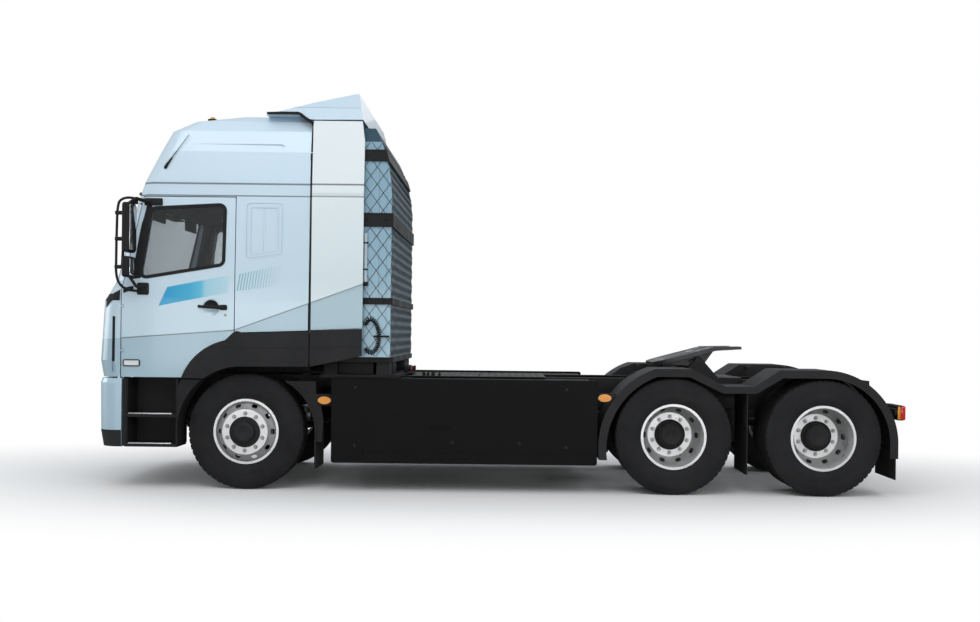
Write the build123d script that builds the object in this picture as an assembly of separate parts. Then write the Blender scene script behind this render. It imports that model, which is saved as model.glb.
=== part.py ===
from build123d import *
import os

# Electric tractor unit, three axles, high-roof sleeper cab with the battery pack behind it.
# Millimetres. +X points rearward, +Y to the truck's right, +Z up, and the ground is at Z 0.
# Stations along X are measured from the front axle; save() moves them so that
# X 0 is the middle of the truck's length.

# Overall stance
wheelbase = 3870
tandem_spacing = 1350
front_overhang = 1430
rear_overhang = 750
overall_width = 2500
overall_length = front_overhang + wheelbase + tandem_spacing + rear_overhang
front_axle_x = front_overhang - overall_length / 2
half_width = overall_width / 2
axle_two = wheelbase
axle_three = wheelbase + tandem_spacing
bogie_centre = (axle_two + axle_three) / 2
truck_rear = axle_three + rear_overhang
fit_gap = 0.3
shut_gap = 8
bearing_clearance = 0.05
beyond = half_width + 100

# Wheels and tyres
tyre_radius = 525
tyre_width = 284
tread_width = 226
bead_radius = 286
flange_radius = 298
rim_width = 236
rim_wall = 12
disc_thickness = 12
hub_pilot_radius = 140
disc_face_radius = 205
wheel_bolts = 10
hand_hole_length = 52
hand_hole_height = 30
front_track = 2036
rear_track = 1860
twin_gap = 52
twin_spacing = tyre_width + twin_gap
front_disc_outset = 165
rear_disc_inset = twin_spacing / 2
axle_height = tyre_radius
twin_inner_y = rear_track / 2 - twin_spacing / 2 - tyre_width / 2

# Chassis frame
frame_width = 850
rail_height = 290
rail_flange = 85
rail_web = 10
frame_top = 1020
frame_front = -1190
frame_rear = axle_three + 640
frame_bottom = frame_top - rail_height
rail_y = frame_width / 2

# Cab
cab_half_width = half_width - 35
cab_rear = 566
cab_wall = 70
cab_bottom = 1012
cab_floor_top = 1200
cab_floor_thickness = 60
cab_header = 2700
front_panel_depth = 36
front_panel_top = 1690
glass_thickness = 10
glass_inset = 6
tilt_x = -1360
tilt_z = 985
crease_step = 4
seam_depth = 5


def box(x0, x1, y0, y1, z0, z1):
    """A block between two corners."""
    return Pos((x0 + x1) / 2, (y0 + y1) / 2, (z0 + z1) / 2) * Box(x1 - x0, y1 - y0, z1 - z0)


def along_y(outline, y0, y1):
    """An outline drawn in X and Z, made solid from y0 to y1."""
    plane = Plane(origin=(0, y1, 0), x_dir=(1, 0, 0), z_dir=(0, -1, 0))
    return extrude(plane * outline, amount=y1 - y0, dir=(0, -1, 0))


def along_x(outline, x0, x1):
    """An outline drawn in Y and Z, made solid from x0 to x1."""
    plane = Plane(origin=(x0, 0, 0), x_dir=(0, 1, 0), z_dir=(1, 0, 0))
    return extrude(plane * outline, amount=x1 - x0, dir=(1, 0, 0))


def along_z(outline, z0, z1):
    """An outline drawn in X and Y, made solid from z0 to z1."""
    return extrude(Plane.XY.offset(z0) * outline, amount=z1 - z0, dir=(0, 0, 1))


def poly(*points):
    """A filled outline through the points."""
    return Polygon(*points, align=None)


def rounded(outline, radius):
    """An outline with every corner rounded."""
    return fillet(outline.vertices(), radius)


def rod(x, y0, y1, z, radius):
    """A round bar across the truck."""
    return Pos(x, (y0 + y1) / 2, z) * Rot(90, 0, 0) * Cylinder(radius, y1 - y0)


def bar(start, end, radius):
    """A round bar between any two points."""
    a, b = Vector(*start), Vector(*end)
    plane = Plane(origin=a, z_dir=(b - a).normalized())
    return extrude(plane * Circle(radius), amount=(b - a).length)


def flip(shape):
    """The same shape on the truck's other side."""
    return mirror(shape, about=Plane.XZ)


def pair(shape):
    """A left piece and its mirror image on the right."""
    return group(shape, flip(shape))


def group(*shapes):
    """Several separate solids as one node."""
    return Compound([solid for shape in shapes for solid in shape.solids()])


def turned(profile):
    """A profile of radius and axial offset, revolved about an axle across the truck."""
    return revolve(profile, axis=Axis.Y)


def save(node, shape):
    """Writes one node, moved from stations behind the front axle to the model's frame."""
    export_step(Pos(front_axle_x, 0, 0) * group(shape), f"parts/{node}.step")


# Wheels. Profiles are radius and axial offset, outboard side positive.
stub_radius = 42
rear_stub_radius = 62
hub_radius = 120
drum_radius = 205
drum_wall = 9


def tyre():
    """One tyre on the origin: bead, bulging sidewall, shoulder and flat tread."""
    bulge, tread, bead = tyre_width / 2, tread_width / 2, rim_width / 2 - rim_wall - 6
    widest = bead_radius + 0.48 * (tyre_radius - bead_radius)
    return turned(poly(
        (bead_radius, -bead), (widest, -bulge), (tyre_radius, -tread),
        (tyre_radius, tread), (widest, bulge), (bead_radius, bead),
    ))


def rim(disc_face):
    """A pressed steel rim: flanged barrel and a dished disc whose bolting face lies at disc_face."""
    half = rim_width / 2
    inner = bead_radius - rim_wall
    barrel = poly(
        (flange_radius, -half), (flange_radius, -half + rim_wall), (bead_radius, -half + rim_wall),
        (bead_radius, half - rim_wall), (flange_radius, half - rim_wall), (flange_radius, half),
        (inner, half), (inner, -half),
    )
    root = disc_face * 0.35
    back = -disc_thickness if disc_face > 0 else disc_thickness
    disc = poly(
        (hub_pilot_radius, disc_face), (disc_face_radius, disc_face), (inner + 2, root), (inner + 2, root + back),
        (disc_face_radius - 2, disc_face + back), (hub_pilot_radius, disc_face + back),
    )
    return turned(barrel) + turned(disc)


def hand_holes(wheel, disc_face):
    """Oval hand holes round the cone of the disc, half a step from the studs."""
    reach = abs(disc_face) + 2 * disc_thickness
    circle = (disc_face_radius + bead_radius - rim_wall) / 2
    hole = along_y(SlotOverall(hand_hole_length, hand_hole_height), -reach, reach)
    step = 360 / wheel_bolts
    for i in range(wheel_bolts):
        wheel = wheel - Rot(0, (i + 0.5) * step, 0) * Pos(0, 0, circle) * hole
    return wheel


def front_wheel():
    """Rim, hub and brake drum of a front wheel, outboard towards +Y, centred on the origin."""
    face = front_disc_outset
    back = face - disc_thickness
    bore = stub_radius + bearing_clearance
    hub = turned(poly(
        (bore, -28), (hub_radius, -28), (hub_radius, face - 34), (190, face - 34), (190, back),
        (hub_pilot_radius - 1, back), (hub_pilot_radius - 1, face + 8), (95, face + 12), (88, face + 58),
        (0, face + 62), (0, face + 40), (bore, face + 40),
    ))
    drum = turned(poly(
        (hub_radius, 95), (drum_radius, 95), (drum_radius, -85), (drum_radius - drum_wall, -85),
        (drum_radius - drum_wall, 82), (hub_radius, 82),
    ))
    return hand_holes(rim(face), face) + hub + drum


def rear_wheel_pair():
    """Twin rims with hub and drum, outboard towards +Y, centred between the twins."""
    offset_y = twin_spacing / 2
    face = offset_y - rear_disc_inset
    bore = rear_stub_radius + bearing_clearance
    hub = turned(poly(
        (bore, -150), (125, -150), (125, face - 36), (190, face - 36), (190, face - disc_thickness),
        (hub_pilot_radius - 1, face - disc_thickness), (hub_pilot_radius - 1, face + 30), (115, face + 40),
        (108, face + 110), (60, face + 122), (0, face + 122), (0, face + 100), (bore, face + 100),
    ))
    drum = turned(poly(
        (125, -60), (drum_radius - 5, -60), (drum_radius - 5, -240), (drum_radius - 5 - drum_wall, -240),
        (drum_radius - 5 - drum_wall, -74), (125, -74),
    ))
    outer = Pos(0, offset_y, 0) * hand_holes(rim(-rear_disc_inset), -rear_disc_inset)
    inner = Pos(0, -offset_y, 0) * rim(rear_disc_inset)
    return outer + inner + hub + drum


def save_wheels():
    one_tyre = tyre()
    front_rim = front_wheel()
    twins = rear_wheel_pair()
    twin_tyres = group(Pos(0, twin_spacing / 2, 0) * one_tyre, Pos(0, -twin_spacing / 2, 0) * one_tyre)
    for side, sign in (("left", -1), ("right", 1)):
        turn = (lambda s: s) if sign > 0 else flip
        place = Pos(0, sign * front_track / 2, axle_height)
        save(f"tyre_front_{side}", place * turn(one_tyre))
        save(f"rim_front_{side}", place * turn(front_rim))
        for axle, x in (("middle", axle_two), ("rear", axle_three)):
            place = Pos(x, sign * rear_track / 2, axle_height)
            save(f"tyres_{axle}_{side}", place * turn(twin_tyres))
            save(f"rims_{axle}_{side}", place * turn(twins))


# Front axle and steering
kingpin_y = front_track / 2 - 128
kingpin_radius = 24
kingpin_eye = 46
beam_eye_height = 116
knuckle_gap = 5
knuckle_eye_height = 48
tie_arm_x = 150
tie_stud_radius = 11
tie_rod_drop = 118
tie_rod_radius = 19
spring_y = rail_y - 10
spring_width = 90
front_spring_half = 760
leaf = 14
front_leaves = 4


def front_axle():
    """Dropped beam with a kingpin eye and pin at each end, and a spring seat each side."""
    z = axle_height
    pad = spring_y + 105
    outline = poly(
        (0, z - 120), (pad - 190, z - 120), (pad - 120, z - 90), (pad, z - 90), (kingpin_y - 190, z - 10),
        (kingpin_y, z + beam_eye_height / 2), (kingpin_y, z - beam_eye_height / 2),
        (kingpin_y - 75, z - beam_eye_height / 2), (kingpin_y - 190, z - 130), (pad + 20, z - 190), (0, z - 200),
    )
    half = along_x(outline, -48, 48)
    eye = Pos(0, kingpin_y, z) * Cylinder(kingpin_eye, beam_eye_height)
    pin_length = beam_eye_height + 2 * (knuckle_gap + knuckle_eye_height) + 10
    half = half + eye + Pos(0, kingpin_y, z) * Cylinder(kingpin_radius, pin_length)
    return half + flip(half)


def knuckle():
    """Right-hand knuckle: two eyes on the kingpin, a back plate, stub axle and steering arm."""
    z = axle_height
    low = beam_eye_height / 2 + knuckle_gap
    high = low + knuckle_eye_height
    plate_y = kingpin_y + kingpin_eye + knuckle_gap + 6
    part = box(-60, 60, plate_y, plate_y + 26, z - high, z + high)
    for z0, z1 in ((z - high, z - low), (z + low, z + high)):
        arm = box(-42, 42, kingpin_y, plate_y + 2, z0, z1)
        part = part + arm + Pos(0, kingpin_y, (z0 + z1) / 2) * Cylinder(kingpin_eye, z1 - z0)
    part = part + rod(0, plate_y + 20, front_track / 2 + front_disc_outset + 30, z, stub_radius)
    arm_low = z - tie_rod_drop - 6
    arm_top = z - low - 8
    arm = box(20, tie_arm_x, kingpin_y - 22, kingpin_y + 22, arm_low, arm_top)
    tip = Pos(tie_arm_x, kingpin_y, (arm_low + arm_top) / 2) * Cylinder(27, arm_top - arm_low)
    part = part + arm + tip
    part = part - Pos(0, kingpin_y, z) * Cylinder(kingpin_radius + bearing_clearance, 400)
    return part - Pos(tie_arm_x, kingpin_y, arm_low) * Cylinder(tie_stud_radius + bearing_clearance, 200)


def tie_rod():
    """The bar that joins the two steering arms, below their tips."""
    z = axle_height - tie_rod_drop - 38
    part = rod(tie_arm_x, -kingpin_y, kingpin_y, z, tie_rod_radius)
    for y in (-kingpin_y, kingpin_y):
        part = part + Pos(tie_arm_x, y, z) * Cylinder(27, 48)
        part = part + Pos(tie_arm_x, y, z + 45) * Cylinder(tie_stud_radius, 60)
    return part


def leaf_pack(x, y, z_mid, half_length, rise, leaves, width):
    """A stack of bent leaves, longest on top, its middle at z_mid and its ends raised by rise."""
    ends = [(x - half_length, z_mid + rise), (x, z_mid), (x + half_length, z_mid + rise)]
    step_x = half_length * 0.35
    step_z = z_mid + rise * 0.14 - leaves * leaf
    lower = [
        (x + half_length, z_mid + rise - leaf), (x + step_x, step_z),
        (x - step_x, step_z), (x - half_length, z_mid + rise - leaf),
    ]
    outline = make_face(ThreePointArc(*ends) + Polyline(ends[2], *lower, ends[0]))
    return along_y(outline, y - width / 2, y + width / 2)


def front_springs():
    """Leaf pack, hangers and seat on each side of the front axle."""
    z = axle_height - 90 + fit_gap
    stack = front_leaves * leaf
    part = leaf_pack(0, spring_y, z + stack, front_spring_half, 120, front_leaves, spring_width)
    for x in (-front_spring_half, front_spring_half):
        hanger = poly(
            (x - 45, z + stack + 90), (x + 45, z + stack + 90), (x + 80, frame_bottom - fit_gap),
            (x - 80, frame_bottom - fit_gap),
        )
        part = part + along_y(hanger, spring_y - spring_width / 2 - 12, spring_y + spring_width / 2 + 12)
    return pair(part + box(-62, 62, spring_y - 50, spring_y + 50, z, z + 40))


# Rear axles, bogie springs and drive line
housing_radius = 78
differential_radius = 205
motor_radius = 220
motor_front = 1220
motor_length = 560
gearbox_length = 480
shaft_rise = 40
bogie_spring_y = (rail_y + twin_inner_y) / 2
bogie_spring_width = (twin_inner_y - rail_y) / 2


def rear_axle(x, cover):
    """Banjo housing with its domed cover towards cover, a tube to each hub and the stub inside it."""
    z = axle_height
    banjo = Pos(x, 0, z) * Rot(0, 90, 0) * Cylinder(differential_radius, 150)
    dome = Pos(x + cover * 75, 0, z) * Sphere(150)
    tube_end = rear_track / 2 - 330
    spindle_end = rear_track / 2 - 162
    stub_end = rear_track / 2 + 80
    tube = rod(x, -tube_end, tube_end, z, housing_radius)
    spindle = rod(x, -spindle_end, spindle_end, z, 70)
    return banjo + dome + tube + spindle + rod(x, -stub_end, stub_end, z, rear_stub_radius)


def rear_suspension():
    """Trunnion bracket under each rail, a leaf pack rocking on it, and its ends on the axles."""
    low = axle_height + housing_radius + fit_gap
    saddle_top = axle_height + 145
    crown = saddle_top + 72
    end, seat = tandem_spacing / 2, 50
    half = (
        (0, crown), (190, crown), (end + seat, low + 40), (end + seat, low), (end - seat - 10, low),
        (170, saddle_top - 5), (0, saddle_top - 5),
    )
    stack = poly(*((bogie_centre + x, z) for x, z in half), *((bogie_centre - x, z) for x, z in half[-2:0:-1]))
    y0, y1 = bogie_spring_y - bogie_spring_width / 2, bogie_spring_y + bogie_spring_width / 2
    trunnion = poly(
        (bogie_centre - 190, frame_bottom - fit_gap), (bogie_centre + 190, frame_bottom - fit_gap),
        (bogie_centre + 120, axle_height - 110), (bogie_centre - 120, axle_height - 110),
    )
    hub = rod(bogie_centre, rail_y - 120, y1 + 22, axle_height - 10, 62)
    saddle = box(bogie_centre - 95, bogie_centre + 95, y0, y1, axle_height - 20, saddle_top)
    return pair(along_y(stack, y0, y1) + saddle + hub + along_y(trunnion, rail_y - rail_flange, rail_y - 32))


def drive_unit():
    """The motor and gearbox between the rails, as one stepped block."""
    z = frame_bottom + 60
    motor = Pos(motor_front + motor_length / 2, 0, z) * Rot(0, 90, 0) * Cylinder(motor_radius, motor_length)
    box_front = motor_front + motor_length - 10
    box_rear = box_front + gearbox_length
    outline = rounded(poly((-190, z - 180), (190, z - 180), (190, z + 210), (-190, z + 210)), 40)
    tail = Pos(box_rear + 50, 0, z - 30) * Rot(0, 90, 0) * Cylinder(95, 130)
    reach = rail_y - rail_web - fit_gap
    ears = box(motor_front + 180, motor_front + 260, -reach, reach, z - 30, z + 70)
    return motor + along_x(outline, box_front, box_rear) + tail + ears


def propshafts(drive, axles):
    """Tubes from the gearbox to the first driven axle, and on to the second."""
    z0, z1 = frame_bottom + 30, axle_height + shaft_rise
    start = motor_front + motor_length + gearbox_length + 105
    first = bar((start, 0, z0), (axle_two - 225, 0, z1), 55)
    second = bar((axle_two + 76, 0, z1 + 120), (axle_three - 226, 0, z1), 45)
    return group(first - drive - axles, second - axles)


def save_running_gear():
    save("front_axle_beam", front_axle())
    save("knuckle_right", knuckle())
    save("knuckle_left", flip(knuckle()))
    save("tie_rod", tie_rod())
    save("front_springs", front_springs())
    axles = group(rear_axle(axle_two, -1), rear_axle(axle_three, 1))
    save("rear_axles", axles)
    save("rear_suspension", rear_suspension())
    save("drive_unit", drive_unit())
    save("propshafts", propshafts(drive_unit(), axles))


# Chassis frame
tank_radius = 108
tank_pitch = 240
tank_z = 430


def frame_rails():
    """Two channel rails, open side inward, tapered at both ends."""
    nose, tail = frame_front + 300, frame_rear - 260
    web = along_y(poly(
        (frame_front, frame_top), (frame_rear, frame_top), (frame_rear, frame_bottom + 60),
        (tail, frame_bottom), (nose, frame_bottom), (frame_front, frame_bottom + 90),
    ), rail_y - rail_web, rail_y)
    top = box(frame_front, frame_rear, rail_y - rail_flange, rail_y, frame_top - rail_web, frame_top)
    low = box(nose, tail, rail_y - rail_flange, rail_y, frame_bottom, frame_bottom + rail_web)
    return pair(web + top + low)


def crossmember(x):
    """One pressed member between the rails: a web with a flange at its top and foot."""
    reach = rail_y - rail_web - fit_gap
    half, flange, sheet = rail_height / 2 - 55, 40, 6
    z = frame_top - rail_height / 2
    outline = poly(
        (x - flange, z - half), (x + flange, z - half), (x + flange, z - half + 2 * sheet),
        (x + sheet, z - half + 2 * sheet), (x + sheet, z + half - 2 * sheet), (x + flange, z + half - 2 * sheet),
        (x + flange, z + half), (x - flange, z + half), (x - flange, z + half - 2 * sheet),
        (x - sheet, z + half - 2 * sheet), (x - sheet, z - half + 2 * sheet), (x - flange, z - half + 2 * sheet),
    )
    return along_y(outline, -reach, reach)


def crossmembers():
    """Pressed members along the frame and the closing plate at its tail."""
    stations = (-1060, 720, axle_two - 1170, axle_two - 420, bogie_centre, axle_three + 330)
    plate_x = frame_rear + fit_gap
    tail = box(plate_x, plate_x + 12, -rail_y, rail_y, frame_bottom + 60, frame_top)
    return group(*(crossmember(x) for x in stations), tail)


side_pack_front = 788
side_pack_rear = axle_two - tyre_radius - 166
side_pack_bottom = 262
side_pack_top = frame_top + 6
skirt_thickness = 34


def side_packs():
    """Chassis battery housings hung outside each rail."""
    y0, y1 = rail_y + fit_gap, half_width - skirt_thickness - fit_gap
    z0, z1 = side_pack_bottom + 40, side_pack_top - 20
    outline = rounded(poly((y0, z0), (y1, z0), (y1, z1), (y0, z1)), 30)
    return pair(along_x(outline, side_pack_front + 75, side_pack_rear - 40))


def side_skirts():
    """Flat cover over each pack, rounded at its top edge, with a lower lip, a latch and a pull recess."""
    y0, y1 = half_width - skirt_thickness, half_width
    face = rounded(poly(
        (side_pack_front, side_pack_bottom), (side_pack_rear, side_pack_bottom),
        (side_pack_rear, side_pack_top), (side_pack_front, side_pack_top),
    ), 24)
    top_edge = poly((y0, side_pack_bottom), (y1, side_pack_bottom), (y1, side_pack_top), (y0, side_pack_top))
    corner = top_edge.vertices().sort_by(Axis.Y)[-2:].sort_by(Axis.X)[-1]
    panel = along_x(fillet(corner, 26), side_pack_front, side_pack_rear) & along_y(face, y0, y1)
    lip_x, lip_z = side_pack_front + 270, side_pack_bottom + 8
    lip = box(lip_x, side_pack_rear - 30, y1 - 12, y1 + 8, lip_z, lip_z + 88)
    latch = box(lip_x - 30, lip_x + 15, y1 - 10, y1 + 14, lip_z + 82, lip_z + 122)
    pull_x, pull_z = side_pack_front + 892, side_pack_bottom + 304
    pull = along_y(rounded(poly(
        (pull_x, pull_z), (pull_x + 170, pull_z), (pull_x + 170, pull_z + 34), (pull_x, pull_z + 34),
    ), 12), y1 - 14, y1 + 1)
    return pair(panel + lip + latch - pull)


deck_front = 1440
deck_half_width = rail_y + 135
deck_sheet = 6


def deck_plates():
    """Two tread plates on the frame, from the upright pack to the fifth wheel."""
    deck_rear = axle_two - 1140
    length = (deck_rear - deck_front - 10) / 2
    plates = []
    for x0 in (deck_front, deck_front + length + 10):
        z0 = frame_top + fit_gap
        plates.append(box(x0, x0 + length, -deck_half_width, deck_half_width, z0, z0 + deck_sheet))
    return group(*plates)


def air_tanks():
    """Two domed air tanks across the frame ahead of the driven axles, each on two hangers."""
    tanks = []
    reach = rail_y - 95
    for x in (axle_two - 990, axle_two - 990 + tank_pitch):
        tank = rod(x, -reach, reach, tank_z, tank_radius)
        tank = fillet(tank.edges().filter_by(GeomType.CIRCLE), 45)
        for y0 in (reach - 75, -reach + 75 - 40):
            tank = tank + box(x - 45, x + 45, y0, y0 + 40, tank_z, frame_bottom + 60)
        for y0, y1 in ((reach - 75, rail_y - 20), (20 - rail_y, 75 - reach)):
            tank = tank + box(x - 45, x + 45, y0, y1, frame_bottom - 40, frame_bottom - fit_gap)
        tanks.append(tank - box(x - 60, x + 60, -rail_y, rail_y, frame_bottom - fit_gap, frame_top))
    return group(*tanks)


# Battery pack behind the cab
pack_front = cab_rear + 74
pack_rear = pack_front + 677
pack_half_width = half_width - 100
pack_bottom = frame_top + 192
pack_top = 3285
band_proud = 20
band_heights = ((2990, 3095), (2395, 2520), (1690, 1750))


def pack_outline(grow=0.0):
    """Side view of the upright pack: straight up, then a rear face that curves forward to the top."""
    front, rear, top = pack_front, pack_rear - band_proud + grow, pack_top
    curve_start = top - 600
    sides = Polyline((rear, curve_start), (rear, pack_bottom), (front, pack_bottom), (front, top), (rear - 150, top))
    return make_face(sides + ThreePointArc((rear - 150, top), (rear - 42, top - 290), (rear, curve_start)))


def battery_pack():
    """Upright pack with its panel seams."""
    y = pack_half_width - band_proud
    pack = along_y(pack_outline(), -y, y)
    for x in (pack_rear - 130, pack_rear - 60):
        seam = box(x - 3, x + 3, y - seam_depth, y + 1, pack_bottom + 40, pack_top - 360)
        pack = pack - seam - flip(seam)
    return pack


def battery_base():
    """Lock base on the frame that carries the upright pack."""
    y = pack_half_width - 90
    plinth = box(pack_front + 20, pack_rear + 40, -y, y, frame_top + fit_gap, frame_top + 30)
    tray = box(pack_front, pack_rear, -y, y, pack_bottom - 50, pack_bottom - fit_gap)
    foot = poly(
        (y - 220, frame_top + 25), (y, frame_top + 25), (y - 20, pack_bottom - 40), (y - 200, pack_bottom - 40),
    )
    feet = along_x(foot, pack_front + 50, pack_front + 170) + along_x(foot, pack_rear - 150, pack_rear - 30)
    return plinth + tray + feet + flip(feet)


def battery_cage(pack):
    """Black clamp bands round the pack, each following the pack's side view."""
    outer = along_y(pack_outline(band_proud), -pack_half_width, pack_half_width)
    bands = []
    for z0, z1 in band_heights:
        slab = box(pack_front + 40, pack_rear + 1, -half_width, half_width, z0, z1)
        bands.append((outer & slab) - pack)
    return group(*bands)


hose_radius = 24
hose_y = pack_half_width + 8


def coil_hose():
    """Coiled air hose stowed in a loop beside the pack, as its outer tube, with the arm that holds it."""
    x, z = pack_rear, pack_bottom
    corners = (
        (x - 239, z + 288), (x - 231, z + 344), (x - 171, z + 348), (x - 125, z + 266), (x - 115, z + 160),
        (x - 141, z + 64), (x - 205, z + 30), (x - 243, z + 78),
    )
    points = [(a, -hose_y, c) for a, c in corners]
    path = FilletPolyline(*points, radius=(31, 43, 200, 247, 75, 33))
    tube = sweep(Plane(origin=path @ 0, z_dir=path % 0) * Circle(hose_radius), path=path)
    face = band_proud - pack_half_width
    return tube + box(x - 167, x - 27, -hose_y, face - fit_gap, z + 180, z + 198)


def save_battery():
    pack = battery_pack()
    save("battery_base", battery_base())
    save("battery_pack", pack)
    save("coil_hose", coil_hose())
    solid_pack = along_y(pack_outline(), band_proud - pack_half_width, pack_half_width - band_proud)
    save("battery_cage", battery_cage(solid_pack))


# Fifth wheel
coupler_x = bogie_centre - 325
pivot_z = frame_top + 185
coupler_tilt = 15
coupler_half_width = 440
coupler_front_reach = 430
coupler_rear_reach = 180
coupler_rise = 85
plate_thickness = 40
pivot_radius = 28
jaw_radius = 25.4
ear_y = 330
ear_thickness = 22
ear_gap = 6
post_thickness = 60


def coupler_plate():
    """Top plate with throat and ramps, pivot ears below it; drawn level, then tipped nose-down."""
    top = pivot_z + coupler_rise
    front, rear = coupler_x - coupler_front_reach, coupler_x + coupler_rear_reach
    width = coupler_half_width
    outline = poly((front, -width), (rear, -width), (rear, width), (front, width))
    outline = fillet(outline.vertices().group_by(Axis.X)[0], 190)
    plate = along_z(outline, top - plate_thickness, top)
    ramp = along_y(poly(
        (rear - 5, top), (rear + 250, top - 62), (rear + 250, top - 90), (rear - 5, top - plate_thickness),
    ), 130, width - 30)
    rib = box(front + 110, coupler_x - 40, 122, 138, top - 110, top - plate_thickness)
    ear = along_y(poly(
        (front + 90, top - plate_thickness + 1), (rear - 10, top - plate_thickness + 1),
        (coupler_x + 60, pivot_z - 45), (coupler_x - 60, pivot_z - 45),
    ), ear_y, ear_y + ear_thickness)
    throat = along_z(poly(
        (coupler_x, -30), (coupler_x + 40, -30), (rear + 260, -190), (rear + 260, 190), (coupler_x + 40, 30),
        (coupler_x, 30),
    ), top - 200, top + 10)
    jaw = Pos(coupler_x, 0, top) * Cylinder(jaw_radius, 400)
    half = ramp + rib + ear
    plate = plate + half + flip(half) - throat - jaw
    plate = plate - rod(coupler_x, -width, width, pivot_z, pivot_radius + bearing_clearance)
    return Pos(coupler_x, 0, pivot_z) * Rot(0, -coupler_tilt, 0) * Pos(-coupler_x, 0, -pivot_z) * plate


def coupler_base():
    """Mounting plate on the frame with a pedestal and pin outside each ear."""
    z0 = frame_top + fit_gap
    post_y = ear_y + ear_thickness + ear_gap
    reach = post_y + post_thickness + 4
    post = along_y(poly(
        (coupler_x - 190, z0 + 10), (coupler_x + 190, z0 + 10), (coupler_x + 38, pivot_z),
        (coupler_x + 27, pivot_z + 27), (coupler_x - 27, pivot_z + 27), (coupler_x - 38, pivot_z),
    ), post_y, post_y + post_thickness)
    side = post + rod(coupler_x, ear_y - 8, post_y + 10, pivot_z, pivot_radius)
    return box(coupler_x - 420, coupler_x + 420, -reach, reach, z0, z0 + 16) + side + flip(side)


# Rear mudguards
guard_wall = 12
guard_lip = 72
guard_inner_y = twin_inner_y + 12
guard_top = 2 * tyre_radius + 88
guard_saddle = guard_top - 153
guard_front = axle_two - tyre_radius - 147
guard_rear = axle_three + tyre_radius + 140


def guard_band(depth):
    """A strip of that depth: up over the first wheel, down to the saddle, over the second."""
    top, saddle, d = guard_top, guard_saddle, depth
    x0, x1 = guard_front, guard_rear
    outer = (
        ThreePointArc((x0, 312), (x0 + 128, top - 278), (axle_two - 170, top))
        + Polyline(
            (axle_two - 170, top), (axle_two + 160, top), (bogie_centre - 216, saddle),
            (bogie_centre + 40, saddle), (axle_three - 400, top), (axle_three + 70, top),
        )
        + ThreePointArc((axle_three + 70, top), (x1 - 175, top - 208), (x1, 470))
    )
    inner = (
        ThreePointArc(
            (x1 - d, 470), (x1 - 175 - d * 0.8, top - 208 - d * 0.6), (axle_three + 70 - d * 0.2, top - d)
        )
        + Polyline(
            (axle_three + 70 - d * 0.2, top - d), (axle_three - 400 + d * 0.35, top - d),
            (bogie_centre + 40 + d * 0.35, saddle - d * 0.85), (bogie_centre - 216 - d * 0.35, saddle - d * 0.85),
            (axle_two + 160 - d * 0.3, top - d), (axle_two - 170 + d * 0.2, top - d),
        )
        + ThreePointArc(
            (axle_two - 170 + d * 0.2, top - d), (x0 + 128 + d * 0.9, top - 278 - d * 0.6), (x0 + d, 312)
        )
    )
    ends = Polyline((x1, 470), (x1, 352), (x1 - d, 352), (x1 - d, 470)) + Line((x0 + d, 312), (x0, 312))
    return make_face(outer + inner + ends)


rear_marker = (guard_front + 45, 870)
front_marker = (side_pack_front - 64, 822)
marker_depth = 38


def rear_mudguards():
    """One moulding a side: a thin sheet over both wheels and a deeper lip at its outer edge."""
    guard = along_y(guard_band(guard_wall), guard_inner_y, half_width - 6)
    guard = guard + along_y(guard_band(guard_lip), half_width - 18, half_width - 4)
    x, z = rear_marker
    guard = guard + box(x - 58, x + 102, half_width - 60, half_width - 40 - fit_gap, z - 40, z + 40)
    rail = rail_y + fit_gap
    for x in (axle_two - 130, axle_two + 120, axle_three - 330, axle_three + 50):
        guard = guard + rod(x, rail, half_width - 20, guard_top - guard_wall - 12, 13)
        guard = guard + box(x - 30, x + 30, rail, rail + 12, frame_top - 80, guard_top - guard_wall - 2)
    return pair(guard)


def mud_flaps():
    """Rubber flaps between the driven wheels and at the tail."""
    flap = 10
    y0, y1 = guard_inner_y + 20, half_width - 30
    between = box(bogie_centre - 20, bogie_centre - 20 + flap, y0, y1, 190, guard_saddle - 10.5)
    tail_x = guard_rear - guard_wall - fit_gap
    tail = box(tail_x - flap, tail_x, y0, y1, 160, 425)
    return group(pair(between), pair(tail))


front_guard_radius = tyre_radius + 66


def front_mudguards():
    """Rear half of the front wheel's guard, carried by the chassis, with its mud flap below."""
    wall = 14
    flap_x = front_guard_radius + 43
    z = axle_height

    def edge(grow):
        top = (366 + grow * 0.7, z + 460 + grow * 0.7)
        return top, (front_guard_radius * 0.87 + grow, z + 340 + grow * 0.5), (flap_x + grow, z - 85)

    inner, outer = edge(0), edge(wall)
    outline = make_face(
        ThreePointArc(*inner) + Polyline(inner[2], (flap_x, 200), (flap_x + wall, 200), outer[2])
        + ThreePointArc(*outer[::-1]) + Line(outer[0], inner[0])
    )
    sheet = along_y(outline, half_width - 490, half_width - 30)
    web = along_y(poly(
        (640, 444), (700, 444), (712, 640), (690, 770), (780, 770), (780, 876), (640, 876), (640, 990), (390, 990),
        (480, 920), (560, 830), (622, 700),
    ), half_width - 60, half_width - 40 - fit_gap)
    stay = box(600, 640, rail_y + fit_gap, half_width - 50, 860, 900)
    return pair(sheet + web + stay)


def tail_lamps():
    """Lamp cluster each side on a bar across the frame's end."""
    lamp = box(truck_rear - 70, truck_rear, half_width - 450, half_width - 70, 690, 830)
    lamp = fillet(lamp.edges().filter_by(Axis.X), 24)
    reach = half_width - 70
    carrier = box(frame_rear + 12 + fit_gap, truck_rear - 70, -reach, reach, 738, 800)
    return lamp + flip(lamp) + carrier


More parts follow.
